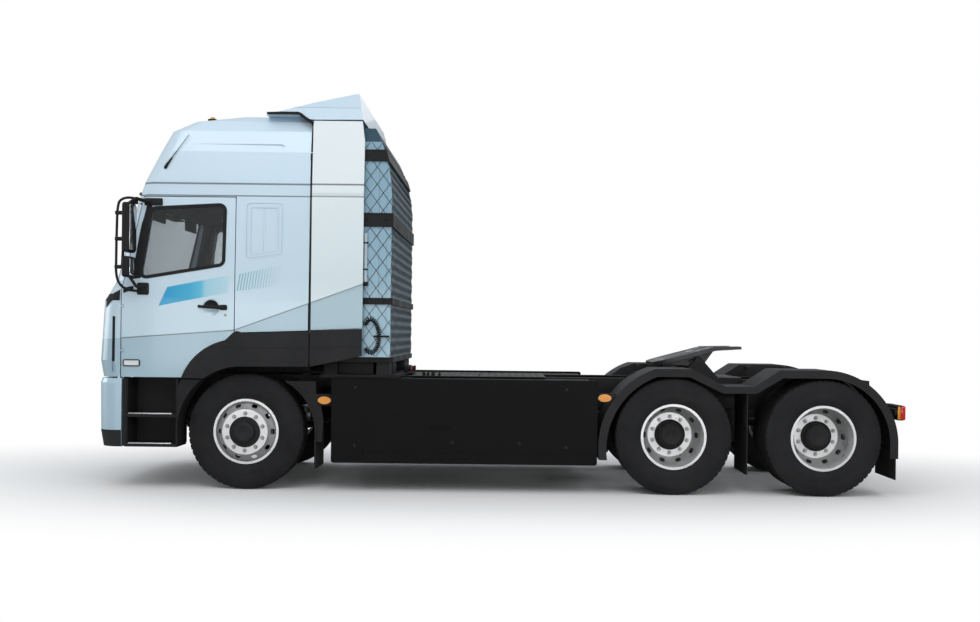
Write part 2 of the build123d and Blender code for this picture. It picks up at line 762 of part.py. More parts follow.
def side_markers():
    """Amber lamps ahead of and behind each side pack."""
    lamps = []
    for x, z in (front_marker, rear_marker):
        face = Plane(origin=(x, half_width - 40, z), x_dir=(1, 0, 0), z_dir=(0, 1, 0)) * Ellipse(58, 34)
        lamps.append(pair(extrude(face, amount=marker_depth)))
    return group(*lamps)


def save_chassis():
    save("frame_rails", frame_rails())
    save("crossmembers", crossmembers())
    save("side_packs", side_packs())
    save("side_skirts", side_skirts())
    save("deck_plates", deck_plates())
    save("air_tanks", air_tanks())
    save("coupler_plate", coupler_plate())
    save("coupler_base", coupler_base())
    save("rear_mudguards", rear_mudguards())
    save("mud_flaps", mud_flaps())
    save("front_mudguards", front_mudguards())
    save("tail_lamps", tail_lamps())
    save("side_markers", side_markers())


# Cab outer form: plan sections up the cab, as height, centre of the front, front of the corner,
# half width and corner radius.
cab_sections = [
    (cab_bottom, -1405, -1290, cab_half_width - 3, 170),
    (1160, -1430, -1318, cab_half_width, 180),
    (front_panel_top, -1412, -1285, cab_half_width, 180),
    (1880, -1335, -1160, cab_half_width - 2, 170),
    (cab_header, -1150, -945, cab_half_width - 27, 150),
]
roof_top = 3400
roof_sections = [
    (cab_header, -1150, -945, cab_half_width - 27, 150),
    (2790, -1130, -912, cab_half_width - 29, 150),
    (3060, -985, -782, cab_half_width - 53, 150),
    (3250, -860, -690, cab_half_width - 85, 140),
    (3345, -660, -500, cab_half_width - 130, 130),
    (roof_top, -250, -120, cab_half_width - 205, 120),
]


def plan(z, front, corner, half, radius, rear, inset):
    """One plan section: bowed front, rounded front corners, straight sides and back."""
    half, rear, radius = half - inset, rear - inset, radius - inset * 0.8
    edge = corner + inset
    nose = front + inset
    outline = make_face(
        ThreePointArc((edge, half), (nose, 0), (edge, -half))
        + Polyline((edge, -half), (rear, -half), (rear, half), (edge, half))
    )
    front_corners = outline.vertices().sort_by(Axis.X)[:2]
    return Plane.XY.offset(z) * fillet(front_corners, radius)


def section_at(sections, z):
    """The section at a height, straight between its neighbours and unchanged beyond the ends."""
    if z <= sections[0][0]:
        return (z, *sections[0][1:])
    if z >= sections[-1][0]:
        return (z, *sections[-1][1:])
    for low, high in zip(sections, sections[1:]):
        if low[0] <= z <= high[0]:
            share = (z - low[0]) / (high[0] - low[0])
            return tuple(a + (b - a) * share for a, b in zip(low, high))


def skin(sections, inset, rear, low=None, high=None):
    """The solid through the sections from low to high, drawn in by inset."""
    low = sections[0][0] if low is None else low
    high = sections[-1][0] if high is None else high
    between = [s for s in sections if low + 1 < s[0] < high - 1]
    chosen = [section_at(sections, low), *between, section_at(sections, high)]
    faces = [plan(z, front, corner, half, radius, rear, inset) for z, front, corner, half, radius in chosen]
    return loft(faces, ruled=True)


# Door outline, as station and height. Its lower edge is the line of the wing.
door_front = -1116
door_rear = -104
door_top = 2640
door_depth = 115
pillar_x = -935
pillar_z = 1800


def door_outline(grow=0.0):
    """The door in side view; its front follows the screen pillar."""
    return poly(
        (door_front - grow, cab_bottom - 60), (door_front - grow, pillar_z), (pillar_x - grow, door_top + grow),
        (door_rear + grow, door_top + grow), (door_rear + grow, cab_bottom - 60),
    )


def door_window():
    """Side glass outline: its sill falls towards the front."""
    return rounded(poly((-952, 1912), (-212, 2040), (-204, 2566), (-858, 2528)), 45)


def screen_outline(grow=0.0):
    """Windscreen outline, seen from the front."""
    sill, head = cab_half_width - 130 + grow, cab_half_width - 175 + grow
    return rounded(poly((-sill, 1770 - grow), (sill, 1770 - grow), (head, 2620 + grow), (-head, 2620 + grow)), 90)


# Wing over the front wheel, in side view
arch_radius = tyre_radius + 82
wing_split = 1000
wing_front = -602
wing_foot = 402
wing_rear = cab_rear + 10
wing_top = 1440
wing_low = 1122
wing_crease = 1290


def wing_upper_edge():
    """Upper edge of the wing: round the wheel, a step up behind the door, then back to the cab's rear."""
    return (
        Line((wing_front, wing_foot), (wing_front, 800))
        + ThreePointArc((wing_front, 800), (-470, 1168), (-176, 1343))
        + Polyline((-176, 1343), (-104, 1412), (-68, 1429), (-33, 1416), (wing_rear, wing_top))
    )


def wing_lower_edge(grow=0.0):
    """Wheel opening, from the foot round the wheel and on to the cab's rear."""
    reach = arch_radius + grow
    front, high = 14 - reach, axle_height + reach
    crown = (-60, high - 15)
    arc = ThreePointArc((front, axle_height + 60), (-reach * 0.70, axle_height + reach * 0.71), crown)
    return Line((front, wing_foot), (front, axle_height + 60)) + arc + Line(crown, (wing_rear, wing_low + grow))


def strip_between(upper, lower):
    """The face between two edges that both run from the foot to the rear."""
    return make_face(upper + lower + Line(upper @ 0, lower @ 0) + Line(upper @ 1, lower @ 1))


def under_wing(grow):
    """What the wing takes out of the cab's side: all below its upper edge, moved out by grow."""
    far, low = cab_rear + 200, 880
    region = make_face(
        Line((wing_front, low), (wing_front, 800))
        + ThreePointArc((wing_front, 800), (-470, 1168), (-176, 1343))
        + Polyline((-176, 1343), (-104, 1412), (-68, 1429), (-33, 1416), (wing_rear, wing_top), (far, wing_top))
        + Polyline((far, wing_top), (far, low), (wing_front, low))
    )
    return Pos(-grow, grow) * region


# Side panels of cab and fairing: the crease, seams and blank pressings, as station and height.
crease_line = ((door_front - shut_gap, 1362), (door_rear, 1442), (cab_rear + 1, 1690))
belt_seam = 2656
roof_seam = 2765
recess_front, recess_rear = -510, 332
recess_low, recess_high = 2868, 3130
recess_turn = 1.0
handle_x, handle_z = -311, 1642
scoop_radius = 150
scoop_depth = 22


def sleeper_pressing(inset=0.0):
    """Blank window pressing behind the door, lower towards the front."""
    return rounded(poly(
        (-5 + inset, 2080 + inset * 1.2), (325 - inset, 2132 + inset * 0.8), (325 - inset, 2596 - inset),
        (-5 + inset, 2596 - inset),
    ), 42 - inset * 0.4)


def below_crease():
    """Side region below the crease, on the right."""
    (x0, z0), (x1, z1), (x2, z2) = crease_line
    return along_y(poly((x0, 900), (x0, z0), (x1, z1), (x2, z2), (x2, 900)), cab_half_width - 100, beyond)


def cab_form():
    """The cab's outer form with its crease, belt seam and the blank pressing behind each door."""
    outer = skin(cab_sections, 0, cab_rear)
    step = below_crease() - skin(cab_sections, crease_step, cab_rear, low=cab_bottom - 20)
    groove = sleeper_pressing() - sleeper_pressing(9)
    panel = sleeper_pressing(37)
    seam = box(-2000, 1000, -beyond, beyond, belt_seam - 4, belt_seam + 4)
    pressed = along_y(groove, 1000, beyond) + along_y(panel, 1000, beyond)
    relief = skin(cab_sections, seam_depth, cab_rear + 2 * seam_depth)
    pressed = pressed - relief
    return outer - step - flip(step) - pressed - flip(pressed) - (seam - relief)


def grille_bar(z, half, height):
    """One horizontal bar that follows the bowed front."""
    strip = skin(cab_sections, 4, cab_rear, low=z, high=z + height)
    strip = strip - skin(cab_sections, front_panel_depth - 8, cab_rear, low=z - 5, high=z + height + 5)
    return strip & box(-1600, -1200, -half, half, z, z + height)


def front_panel():
    """Panel under the windscreen: grille recess with bars, and a tall slot at each corner."""
    form = skin(cab_sections, 0, cab_rear) - skin(cab_sections, front_panel_depth, cab_rear)
    panel = form & box(-1600, door_front - shut_gap, -beyond, beyond, cab_bottom - 10, front_panel_top)
    width = cab_half_width - 400
    mouth = rounded(poly((-width, 1105), (width, 1105), (width - 40, 1470), (40 - width, 1470)), 40)
    deep = skin(cab_sections, front_panel_depth - 12, cab_rear)
    panel = panel - (along_x(mouth, -1600, -1200) - deep)
    for i in range(5):
        panel = panel + grille_bar(1128 + 70 * i, width - 14 - 6 * i, 30)
    slot = box(-1201, -1173, cab_half_width - 215, beyond, 1058, 1558)
    slot = slot - skin(cab_sections, front_panel_depth - 20, cab_rear)
    panel = panel - slot - flip(slot)
    for z in hinge_heights:
        panel = panel + hinge_lug(z) + flip(hinge_lug(z))
    return panel


def cab():
    """Cab shell, doors, front panel and glass, all cut from one outer form."""
    outer = cab_form()
    inner = skin(cab_sections, cab_wall, cab_rear, low=cab_floor_top, high=cab_header + 20)
    house = along_y(under_wing(shut_gap + 30), cab_half_width - 285, beyond)
    inner = inner - house - flip(house)
    floor_low = cab_floor_top - cab_floor_thickness
    under = skin(cab_sections, 40, cab_rear, low=cab_bottom - 20, high=floor_low)
    shell = outer - inner - under - box(cab_rear - 86, cab_rear + 134, -beyond, beyond, 900, floor_low)
    side_low = along_y(under_wing(shut_gap), cab_half_width - 255, beyond)
    shell = shell - side_low - flip(side_low)
    door_y = cab_half_width - door_depth
    doorway = along_y(door_outline(shut_gap), door_y - 10, beyond)
    door = shell & along_y(door_outline(), door_y, beyond)
    shell = shell - doorway - flip(doorway)
    door = door - along_y(door_window(), door_y - 100, beyond)
    door = door - Pos(handle_x, cab_half_width + scoop_radius - scoop_depth, handle_z) * Sphere(scoop_radius)
    for z in hinge_heights:
        door = door - hinge_pocket(z) - hinge_bore(z)
    pane = skin(cab_sections, glass_inset, cab_rear) - skin(cab_sections, glass_inset + glass_thickness, cab_rear)
    door_glass = pane & along_y(offset(door_window(), -fit_gap), door_y - 100, beyond)
    screen = pane & along_x(screen_outline(-fit_gap), -1600, -700)
    panel = front_panel()
    behind_panel = skin(cab_sections, front_panel_depth + fit_gap, cab_rear, low=cab_bottom - 20)
    panel_rear, panel_head = door_front - shut_gap + 1, front_panel_top + fit_gap
    room = box(-1600, panel_rear, -beyond, beyond, cab_bottom - 10, panel_head) - behind_panel
    shell = shell - along_x(screen_outline(), -1600, -700) - room
    return shell + (tilt_lug() - panel), door, door_glass, screen, panel


def high_roof():
    """Moulded high roof, hollow, open to the cab below, with a shallow blank recess in each side."""
    wall = 45
    outer = skin(roof_sections, 0, cab_rear, low=cab_header + fit_gap)
    roof = outer - skin(roof_sections, wall, cab_rear, low=cab_header - 20, high=roof_top - wall)
    side = cab_half_width - 53
    turned_in = Pos(recess_front, side, 0) * Rot(0, 0, -recess_turn) * Pos(-recess_front, -side, 0)
    face = rounded(poly(
        (recess_front, recess_low), (recess_rear, recess_low), (recess_rear, recess_high), (recess_front, recess_high),
    ), 40)
    recess = along_y(face, cab_half_width - 120, beyond) - turned_in * skin(roof_sections, 1, cab_rear + 200)
    seam = box(-2000, 1000, -beyond, beyond, roof_seam - 4, roof_seam + 4)
    seam = seam - skin(roof_sections, seam_depth, cab_rear + 2 * seam_depth)
    back = cab_rear - 100
    corner = box(back, cab_rear + 10, -beyond, beyond, roof_top - 90, roof_top + 10)
    corner = corner - rod(back, -beyond, beyond, roof_top - 90, 95)
    return roof - recess - flip(recess) - seam - corner


deflector_top = 3620
deflector_rear = 985


def deflector():
    """Air deflector over the back of the roof, narrower towards its top, rising to the highest point."""
    top, rear = deflector_top, deflector_rear
    base = cab_half_width - 35
    side = poly(
        (153, roof_top), (590, top - 92), (rear - 20, top), (rear, top - 6), (rear + 50, 3360), (600, 3355),
        (cab_rear - 30, roof_top - 40), (cab_rear - 100, roof_top),
    )
    front = poly((-base, 3340), (base, 3340), (base - 60, 3470), (base - 150, top + 5), (150 - base, top + 5),
                 (60 - base, 3470))
    shell = along_y(side, -base, base) & along_x(front, 0, 1200)
    hollow = poly((cab_rear + 30, 3300), (cab_rear + 60, 3500), (rear - 25, top - 50), (rear + 10, 3300))
    shell = shell - along_y(hollow, 80 - base, base - 80)
    return shell - skin(roof_sections, 0, cab_rear, high=roof_top + fit_gap)


fairing_rear = 1053
fairing_sheet = 30


def side_fairings():
    """Painted fairing behind each side of the cab, leaning in above the roof seam, on three brackets."""
    front, y1 = cab_rear + 22, cab_half_width + 3
    lean = 48
    side = poly(
        (front, 1452), (fairing_rear, 1474), (fairing_rear + 2, 3170), (fairing_rear - 23, 3345), (front, 3345),
    )
    section = poly(
        (y1 - fairing_sheet, 1400), (y1, 1400), (y1, cab_header), (y1 - lean, 3350), (y1 - lean - fairing_sheet, 3350),
        (y1 - fairing_sheet, cab_header),
    )
    panel = along_y(side, cab_half_width - 200, beyond) & along_x(section, front - 10, fairing_rear + 10)
    crease = along_y(poly((front - 1, 1400), (front - 1, 1697), (fairing_rear + 3, 1850), (fairing_rear + 3, 1400)),
                     y1 - crease_step, beyond)
    for z in (belt_seam + 20, roof_seam):
        panel = panel - box(front - 1, fairing_rear + 3, y1 - 2 * seam_depth, beyond, z - 4, z + 4)
    panel = panel - crease
    for z, inward in ((1600, 0), (2300, 0), (3000, 25)):
        reach = y1 - fairing_sheet + 4 - inward
        panel = panel + box(cab_rear + fit_gap, cab_rear + 68, reach - 75, reach, z, z + 60)
    return pair(panel)


def fairing_skirts():
    """Black lower fairing, rising to the rear."""
    y1 = half_width - 2
    front = cab_rear + 22
    outline = poly((front, 1122), (fairing_rear - 1, 1222), (fairing_rear - 1, 1466), (front, 1446))
    raised = poly((front, wing_crease), (fairing_rear - 1, wing_crease + 22), (fairing_rear - 1, 1466), (front, 1446))
    return pair(along_y(outline, y1 - 30, y1 - 8) + along_y(raised, y1 - 30, y1 - 3))


def cab_wings():
    """Black wing over each front wheel: face, raised upper band, arch lip and a liner over the tyre."""
    y1 = half_width - 2
    y0 = y1 - 30
    upper, lower = wing_upper_edge(), wing_lower_edge()
    face = along_y(strip_between(upper, lower), y0, y1 - 8)
    band = face & box(-400, 1000, y0, beyond, wing_crease, 1500)
    band = band + Pos(0, 5, 0) * band
    lip = along_y(strip_between(wing_lower_edge(42), lower), y0, y1)
    lip = lip & box(wing_front + 1, wing_rear, 0, beyond, 0, wing_crease)
    liner = along_y(strip_between(wing_lower_edge(14), lower), half_width - 240, half_width - 20)
    liner = liner & box(wing_front + 1, wing_rear, 0, beyond, 0, 2000)
    link = box(wing_rear - 36, wing_rear + 64, y0 - 14, y0 + 2, 1150, 1425)
    room = along_y(under_wing(shut_gap - fit_gap), cab_half_width - 300, beyond)
    ribs = box(-20, 0, half_width - 238, y0 + 2, 1115, 1500) + box(430, 450, half_width - 238, y0 + 2, 1125, 1500)
    whole = face + band + lip + liner + link + (ribs & room)
    high = whole & box(-2000, 2000, 0, 2000, wing_split + 6, 2000)
    foot = whole & box(-2000, 2000, 0, 2000, 0, wing_split - 6)
    return pair(high), pair(foot)


# Bumper, by the same plan sections as the cab
bumper_sections = [
    (385, -1395, -1275, half_width - 15, 170),
    (536, -1418, -1300, half_width - 6, 180),
    (960, -1424, -1305, half_width - 4, 180),
    (1000, -1412, -1292, half_width - 10, 170),
]
bumper_rear = -1100
bumper_wall = 55
bumper_centre_top = 944
intake_half = half_width - 630
intake_low, intake_high = 600, 790


def lamp_outline(grow=0.0):
    """Headlamp seen from the front: it rises and widens towards the corner."""
    inner, outer = half_width - 520, half_width - 115
    return rounded(poly(
        (inner - grow, 705 - grow), (outer - 90 + grow, 690 - grow), (outer + grow, 770), (outer + grow, 872 + grow),
        (inner - 30 - grow, 846 + grow),
    ), 22)


def bumper():
    """Front bumper, an open shell wrapping round both corners, with intake bars and lamp openings."""
    outer = skin(bumper_sections, 0, 0)
    inner = skin(bumper_sections, bumper_wall, 100, low=300, high=1100)
    shell = (outer - inner) & box(-1600, bumper_rear, -beyond, beyond, 300, 1100)
    lower = box(-1600, bumper_rear + 1, -beyond, beyond, 300, 536) - skin(bumper_sections, 6, 0)
    intake = rounded(poly(
        (-intake_half, intake_low), (intake_half, intake_low), (intake_half - 30, intake_high),
        (30 - intake_half, intake_high),
    ), 30)
    lamp = along_x(lamp_outline(), -1600, -1150)
    shell = shell - lower - along_x(intake, -1600, -1200) - lamp - flip(lamp)
    for i in range(2):
        z = intake_low + 50 + 62 * i
        strip = skin(bumper_sections, 14, 0, low=z, high=z + 24) - skin(bumper_sections, 40, 0, low=z - 5, high=z + 30)
        shell = shell + (strip & box(-1600, -1200, -intake_half - 5, intake_half + 5, z, z + 24))
    return shell - box(-1600, tilt_x + 35, -beyond, beyond, bumper_centre_top, 1100)


def headlamps():
    """Lamp block behind each lens opening, flush with the bumper's face."""
    form = skin(bumper_sections, 5, 0) - skin(bumper_sections, 50, 0)
    lamp = form & along_x(lamp_outline(-fit_gap), -1600, -1150)
    return pair(lamp)


# Cab mountings
tilt_pin_radius = 12


def cab_mounts():
    """Arms from the rails to the bumper with the tilt pin's ears, and posts under the cab's rear."""
    y0, y1 = rail_y - 55, rail_y - 5
    front = frame_front - fit_gap
    arm = box(-1380, front, y0 - 5, y1 + 5, 780, 880) - bumper()
    ear = along_y(poly(
        (front - 140, 860), (front, 860), (front - 60, 950), (tilt_x + 20, tilt_z + 16),
        (tilt_x - 16, tilt_z + 16), (tilt_x - 16, tilt_z - 16), (tilt_x + 40, tilt_z - 30),
    ), y0, y1)
    pin = rod(tilt_x, y1 - 10, y1 + 36, tilt_z, tilt_pin_radius)
    post_top = cab_floor_top - cab_floor_thickness - fit_gap
    post = box(cab_rear - 186, cab_rear - 106, y0 - 20, y1 + 5, frame_top + fit_gap, post_top)
    return pair(arm + ear + pin) + pair(post)


def tilt_lug():
    """Lug under the cab's front wall that turns on the tilt pin."""
    y0, y1 = rail_y + 1, rail_y + 27
    lug = box(tilt_x - 23, tilt_x + 23, y0, y1, tilt_z, cab_bottom + 60) + rod(tilt_x, y0, y1, tilt_z, 23)
    return pair(lug - rod(tilt_x, 0, beyond, tilt_z, tilt_pin_radius + bearing_clearance))


hinge_x = door_front + 8
hinge_y = cab_half_width - 8
hinge_pin_radius = 5
hinge_heights = (1250, 1650)


def hinge_pocket(z):
    """Room in the door's edge for the fixed half of a hinge."""
    return box(hinge_x - 24, hinge_x + 13, hinge_y - 13, hinge_y + 20, z - 14, z + 14)


def hinge_lug(z):
    """Fixed half of a door hinge: a short arm off the corner panel and its pin."""
    arm = box(door_front - 14, hinge_x, hinge_y - 6, hinge_y + 6, z - 8, z + 8)
    return arm + Pos(hinge_x, hinge_y, z) * Cylinder(6, 16) + Pos(hinge_x, hinge_y, z) * Cylinder(hinge_pin_radius, 56)


def hinge_bore(z):
    return Pos(hinge_x, hinge_y, z) * Cylinder(hinge_pin_radius + bearing_clearance, 58)


# Steps below each door
step_front = -1092
step_rear = wing_front + 1
step_heights = (415, 683)
step_inner_y = half_width - 350


def tread_board(z):
    """One tread: a tray with a raised nose along its outer edge, and ribs."""
    y0, y1 = step_inner_y + 20, half_width - 20
    section = poly(
        (y0, z - 30), (y1, z - 30), (y1, z - 5), (y1 - 5, z), (y1 - 30, z), (y1 - 34, z - 8), (y0, z - 8),
    )
    board = along_x(section, step_front + 20, step_rear)
    for i in range(5):
        y = y0 + 30 + 42 * i
        board = board + box(step_front + 50, step_rear - 40, y, y + 14, z - 10, z - 2)
    return board


def steps():
    """Step box below each door: front post, back wall and two tread boards, hung from the rail."""
    x0, x1 = step_front, step_rear
    y0, y1 = step_inner_y, half_width - 20
    post = along_z(poly((x0, y0), (x0 + 40, y0), (x0 + 40, y1 - 14), (x0 + 26, y1), (x0, y1)), 390, wing_split)
    parts = post + box(x0, x1, y0, y0 + 30, 400, wing_split)
    parts = parts + box(x1 - 22, x1, y0, y1 - 30, 400, wing_split - 6)
    for z in step_heights:
        parts = parts + tread_board(z)
    for x in (-1000, -700):
        parts = parts + box(x - 35, x + 35, rail_y + fit_gap, y0 + 5, 800, 860)
    return pair(parts)


# Inside the cab
seat_y = cab_half_width - 655
seat_base_top = 1480
bunk_low, bunk_high = 1640, 1780


def dashboard():
    """Dashboard across the cab, seen in side view as a top falling to the screen and a knee panel."""
    reach = cab_half_width - 130
    outline = poly(
        (-1340, 1205), (-1340, 1640), (-1180, 1720), (-900, 1640), (-860, 1520), (-980, 1400), (-1050, 1205),
    )
    room = skin(cab_sections, cab_wall + fit_gap, cab_rear, low=cab_floor_top + fit_gap)
    return along_y(outline, -reach, reach) & room


def seat(y):
    """Driver's or passenger's seat: pedestal, cushion and a back that leans rearward."""
    z = seat_base_top
    pedestal = box(-560, -120, y - 170, y + 170, cab_floor_top + fit_gap, z)
    cushion = box(-640, -90, y - 250, y + 250, z, z + 140)
    back = along_y(poly((-200, z + 120), (-80, z + 120), (60, z + 800), (-30, z + 810)), y - 240, y + 240)
    return pedestal + cushion + back


def bunk():
    """Bunk across the back of the cab."""
    reach = cab_half_width - 115
    return box(70, cab_rear - cab_wall - fit_gap, -reach, reach, bunk_low, bunk_high)


def steering_wheel():
    """Steering wheel tipped towards the driver, on its column."""
    centre = (-760, -seat_y, 1700)
    wheel = Torus(225, 17) + Cylinder(60, 40) + Box(420, 36, 22)
    column = bar(centre, (-960, -seat_y, 1415), 35)
    return Pos(*centre) * Rot(0, -35, 0) * wheel + column - dashboard()


def mirror_assembly():
    """Left mirror: looped arm on the door, with a main and a wide-angle head."""
    y = -cab_half_width
    path = Polyline(
        (-870, y, 2590), (-960, y - 115, 2610), (-1040, y - 155, 2540), (-1060, y - 165, 2000),
        (-960, y - 75, 1820), (-880, y + 2, 1830),
    )
    arm = sweep(Plane(origin=path @ 0, z_dir=path % 0) * Circle(13), path=path, transition=Transition.ROUND)
    main = box(-1035, -965, y - 285, y - 75, 2120, 2560)
    wide = box(-1035, -965, y - 275, y - 75, 1900, 2085)
    return arm + fillet(main.edges(), 24) + fillet(wide.edges(), 24)


def save_cab():
    shell, door, door_glass, screen, panel = cab()
    save("cab_shell", shell)
    save("front_panel", panel)
    save("windscreen", screen)
    save("door_right", door)
    save("door_left", flip(door))
    save("door_glass_right", door_glass)
    save("door_glass_left", flip(door_glass))
    save("high_roof", high_roof())
    save("roof_deflector", deflector())
    save("side_fairings", side_fairings())
    wings, feet = cab_wings()
    save("cab_wings", group(wings, fairing_skirts()))
    save("bumper", bumper())
    save("headlamps", headlamps())
    save("cab_mounts", cab_mounts())
    save("steps", steps() + feet)
    save("dashboard", dashboard())
    save("seats_and_bunk", group(seat(-seat_y), seat(seat_y), bunk()))
    save("steering_wheel", steering_wheel())
    mirrors = mirror_assembly() - flip(door)
    save("mirror_left", mirrors)
    save("mirror_right", flip(mirrors))


os.makedirs("parts", exist_ok=True)
save_wheels()
save_running_gear()
save_chassis()
save_battery()
save_cab()
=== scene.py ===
import math

import bmesh
import bpy
from mathutils import Matrix, Vector


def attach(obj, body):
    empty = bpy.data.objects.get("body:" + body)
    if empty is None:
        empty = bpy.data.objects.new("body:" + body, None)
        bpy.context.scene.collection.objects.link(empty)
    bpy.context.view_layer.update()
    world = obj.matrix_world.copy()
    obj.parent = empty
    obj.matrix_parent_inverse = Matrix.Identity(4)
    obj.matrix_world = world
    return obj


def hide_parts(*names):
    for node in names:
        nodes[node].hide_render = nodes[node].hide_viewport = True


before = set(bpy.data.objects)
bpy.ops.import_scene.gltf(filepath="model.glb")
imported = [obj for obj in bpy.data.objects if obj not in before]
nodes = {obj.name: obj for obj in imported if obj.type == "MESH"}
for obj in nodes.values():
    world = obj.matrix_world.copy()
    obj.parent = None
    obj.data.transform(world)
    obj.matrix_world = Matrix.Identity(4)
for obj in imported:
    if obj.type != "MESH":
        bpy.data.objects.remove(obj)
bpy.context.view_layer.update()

scene = bpy.context.scene

# Stations are millimetres behind the front axle, and widths and heights are millimetres too
FRONT_OVERHANG = 1.430
LENGTH = 7.400
FRONT_AXLE_X = FRONT_OVERHANG - LENGTH / 2
CAB_HALF = 1215
AXLE_HEIGHT = 525
DOOR_DEPTH = 115
SIDES = ("left", "right")


def P(station, y, z):
    """A point of the model, in metres."""
    return Vector((station / 1000 + FRONT_AXLE_X, y / 1000, z / 1000))


def put(name, data):
    """A new object in the scene."""
    obj = bpy.data.objects.new(name, data)
    scene.collection.objects.link(obj)
    return obj


def spaced(start, end, count):
    """Evenly spaced values, both ends among them."""
    return [start + (end - start) * k / (count - 1) for k in range(count)]


def turned(count, start=0.0):
    """Evenly spaced angles of a full turn."""
    return [2 * math.pi * (k + start) / count for k in range(count)]


# Materials
def principled(name, color, rough=0.5, metallic=0.0, coat=0.0, coat_rough=0.03, spec=0.5):
    mat = bpy.data.materials.new(name)
    mat.use_nodes = True
    tree = mat.node_tree
    bsdf = tree.nodes["Principled BSDF"]
    bsdf.inputs["Base Color"].default_value = (*color, 1)
    bsdf.inputs["Roughness"].default_value = rough
    bsdf.inputs["Metallic"].default_value = metallic
    bsdf.inputs["Coat Weight"].default_value = coat
    bsdf.inputs["Coat Roughness"].default_value = coat_rough
    bsdf.inputs["Specular IOR Level"].default_value = spec
    return mat, tree, bsdf


def node(tree, kind, inputs, **settings):
    """A shader node, its inputs linked to sockets or set to constants."""
    made = tree.nodes.new(f"ShaderNode{kind}")
    for name, value in settings.items():
        setattr(made, name, value)
    for name, value in inputs.items():
        socket = made.inputs[name]
        if isinstance(value, bpy.types.NodeSocket):
            tree.links.new(value, socket)
        else:
            socket.default_value = (*value, 1) if isinstance(value, tuple) else value
    return made


def noise(tree, scale, detail=3.0, rough=0.5):
    """Noise over the object's own space."""
    space = node(tree, "TexCoord", {}).outputs["Object"]
    inputs = {"Vector": space, "Scale": scale, "Detail": detail, "Roughness": rough}
    return node(tree, "TexNoise", inputs).outputs["Fac"]


def ramp(tree, source, *stops):
    """Colours along a value."""
    made = node(tree, "ValToRGB", {"Fac": source})
    elements = made.color_ramp.elements
    while len(elements) < len(stops):
        elements.new(0.5)
    for element, (at, color) in zip(elements, stops):
        element.position = at
        element.color = (*color, 1)
    return made.outputs["Color"]


def spread(tree, source, low, high, to_low=0.0, to_high=1.0, **settings):
    """A value moved from one range to another."""
    inputs = {"Value": source, "From Min": low, "From Max": high, "To Min": to_low, "To Max": to_high}
    return node(tree, "MapRange", inputs, **settings).outputs["Result"]


def maths(tree, operation, a, b=0.0):
    """One sum; a and b are sockets or numbers."""
    return node(tree, "Math", {0: a, 1: b}, operation=operation).outputs[0]


def blend(tree, factor, a, b, kind="MIX"):
    """Colour mix; a and b are sockets or colours, factor a socket or a number."""
    inputs = {"Factor": factor, "A": a, "B": b}
    return node(tree, "Mix", inputs, data_type="RGBA", blend_type=kind).outputs["Result"]


def place_along(tree, axis):
    """The object coordinate along one axis."""
    space = node(tree, "TexCoord", {}).outputs["Object"]
    return node(tree, "SeparateXYZ", {"Vector": space}).outputs[axis]


def grained(tree, bsdf, source, strength, distance):
    """Fine relief that follows a value."""
    made = node(tree, "Bump", {"Height": source, "Strength": strength, "Distance": distance})
    tree.links.new(made.outputs["Normal"], bsdf.inputs["Normal"])


def uneven_gloss(tree, bsdf, cloud, low, high):
    tree.links.new(spread(tree, cloud, 0.3, 0.7, low, high), bsdf.inputs["Roughness"])


def line_height(tree, x, start, end):
    """Height of the line through two points of station and height, at x."""
    a, b = P(start[0], 0, start[1]), P(end[0], 0, end[1])
    slope = (b.z - a.z) / (b.x - a.x)
    return maths(tree, "ADD", maths(tree, "MULTIPLY", x, slope), a.z - slope * a.x)


# The pressed line along the cab as stations and heights, and the two seams above it in metres
FOLD_FRONT, FOLD_BEND, FOLD_REAR = (-1124, 1362), (-104, 1442), (567, 1690)
SEAMS = ((2.765, 0.011), (2.656, 0.008))


def cab_side_painted_shade(tree, upper, middle, lower):
    """Painted shade below the pressed line, painted light upwards, painted shadow in the fold and the two
    seams.
    """
    x, z = place_along(tree, "X"), place_along(tree, "Z")
    door_line = line_height(tree, x, FOLD_FRONT, FOLD_BEND)
    rising_line = line_height(tree, x, FOLD_BEND, FOLD_REAR)
    fold = maths(tree, "SUBTRACT", z, maths(tree, "MAXIMUM", door_line, rising_line))
    above = ramp(tree, spread(tree, fold, 0.0, 1.1), (0.0, middle), (1.0, upper))
    tone = blend(tree, spread(tree, fold, -0.003, 0.003), lower, above)
    shadows = [(fold, 0.007, maths(tree, "GREATER_THAN", x, P(-1110, 0, 0).x))]
    shadows += [(maths(tree, "SUBTRACT", z, height), half, 1.0) for height, half in SEAMS]
    # Painted shadow: a dark band along the fold, behind the front corner, and along each seam
    for distance, half, part in shadows:
        near = spread(tree, maths(tree, "ABSOLUTE", distance), half * 0.5, half, 0.66, 0.0)
        tone = blend(tree, maths(tree, "MULTIPLY", near, part), tone, (0.03, 0.04, 0.05))
    return tone


def inside_mask(tree):
    """1 on the surfaces inside the cab, between its walls."""
    x, z = place_along(tree, "X"), place_along(tree, "Z")
    width = maths(tree, "ABSOLUTE", place_along(tree, "Y"))
    lean, sill = 0.2256, 1.88
    screen = maths(tree, "ADD", maths(tree, "MULTIPLY", z, lean), P(-1335, 0, 0).x - lean * sill)
    bow = maths(tree, "MULTIPLY", maths(tree, "MULTIPLY", width, width), 0.15)
    front = maths(tree, "ADD", maths(tree, "MAXIMUM", screen, P(-1430, 0, 0).x), bow)
    mask = maths(tree, "LESS_THAN", width, 1.150)
    for operation, value, limit in (
        ("GREATER_THAN", x, maths(tree, "ADD", front, 0.045)), ("LESS_THAN", x, P(536, 0, 0).x),
        ("GREATER_THAN", z, 1.19), ("LESS_THAN", z, 2.70),
    ):
        mask = maths(tree, "MULTIPLY", mask, maths(tree, operation, value, limit))
    return mask


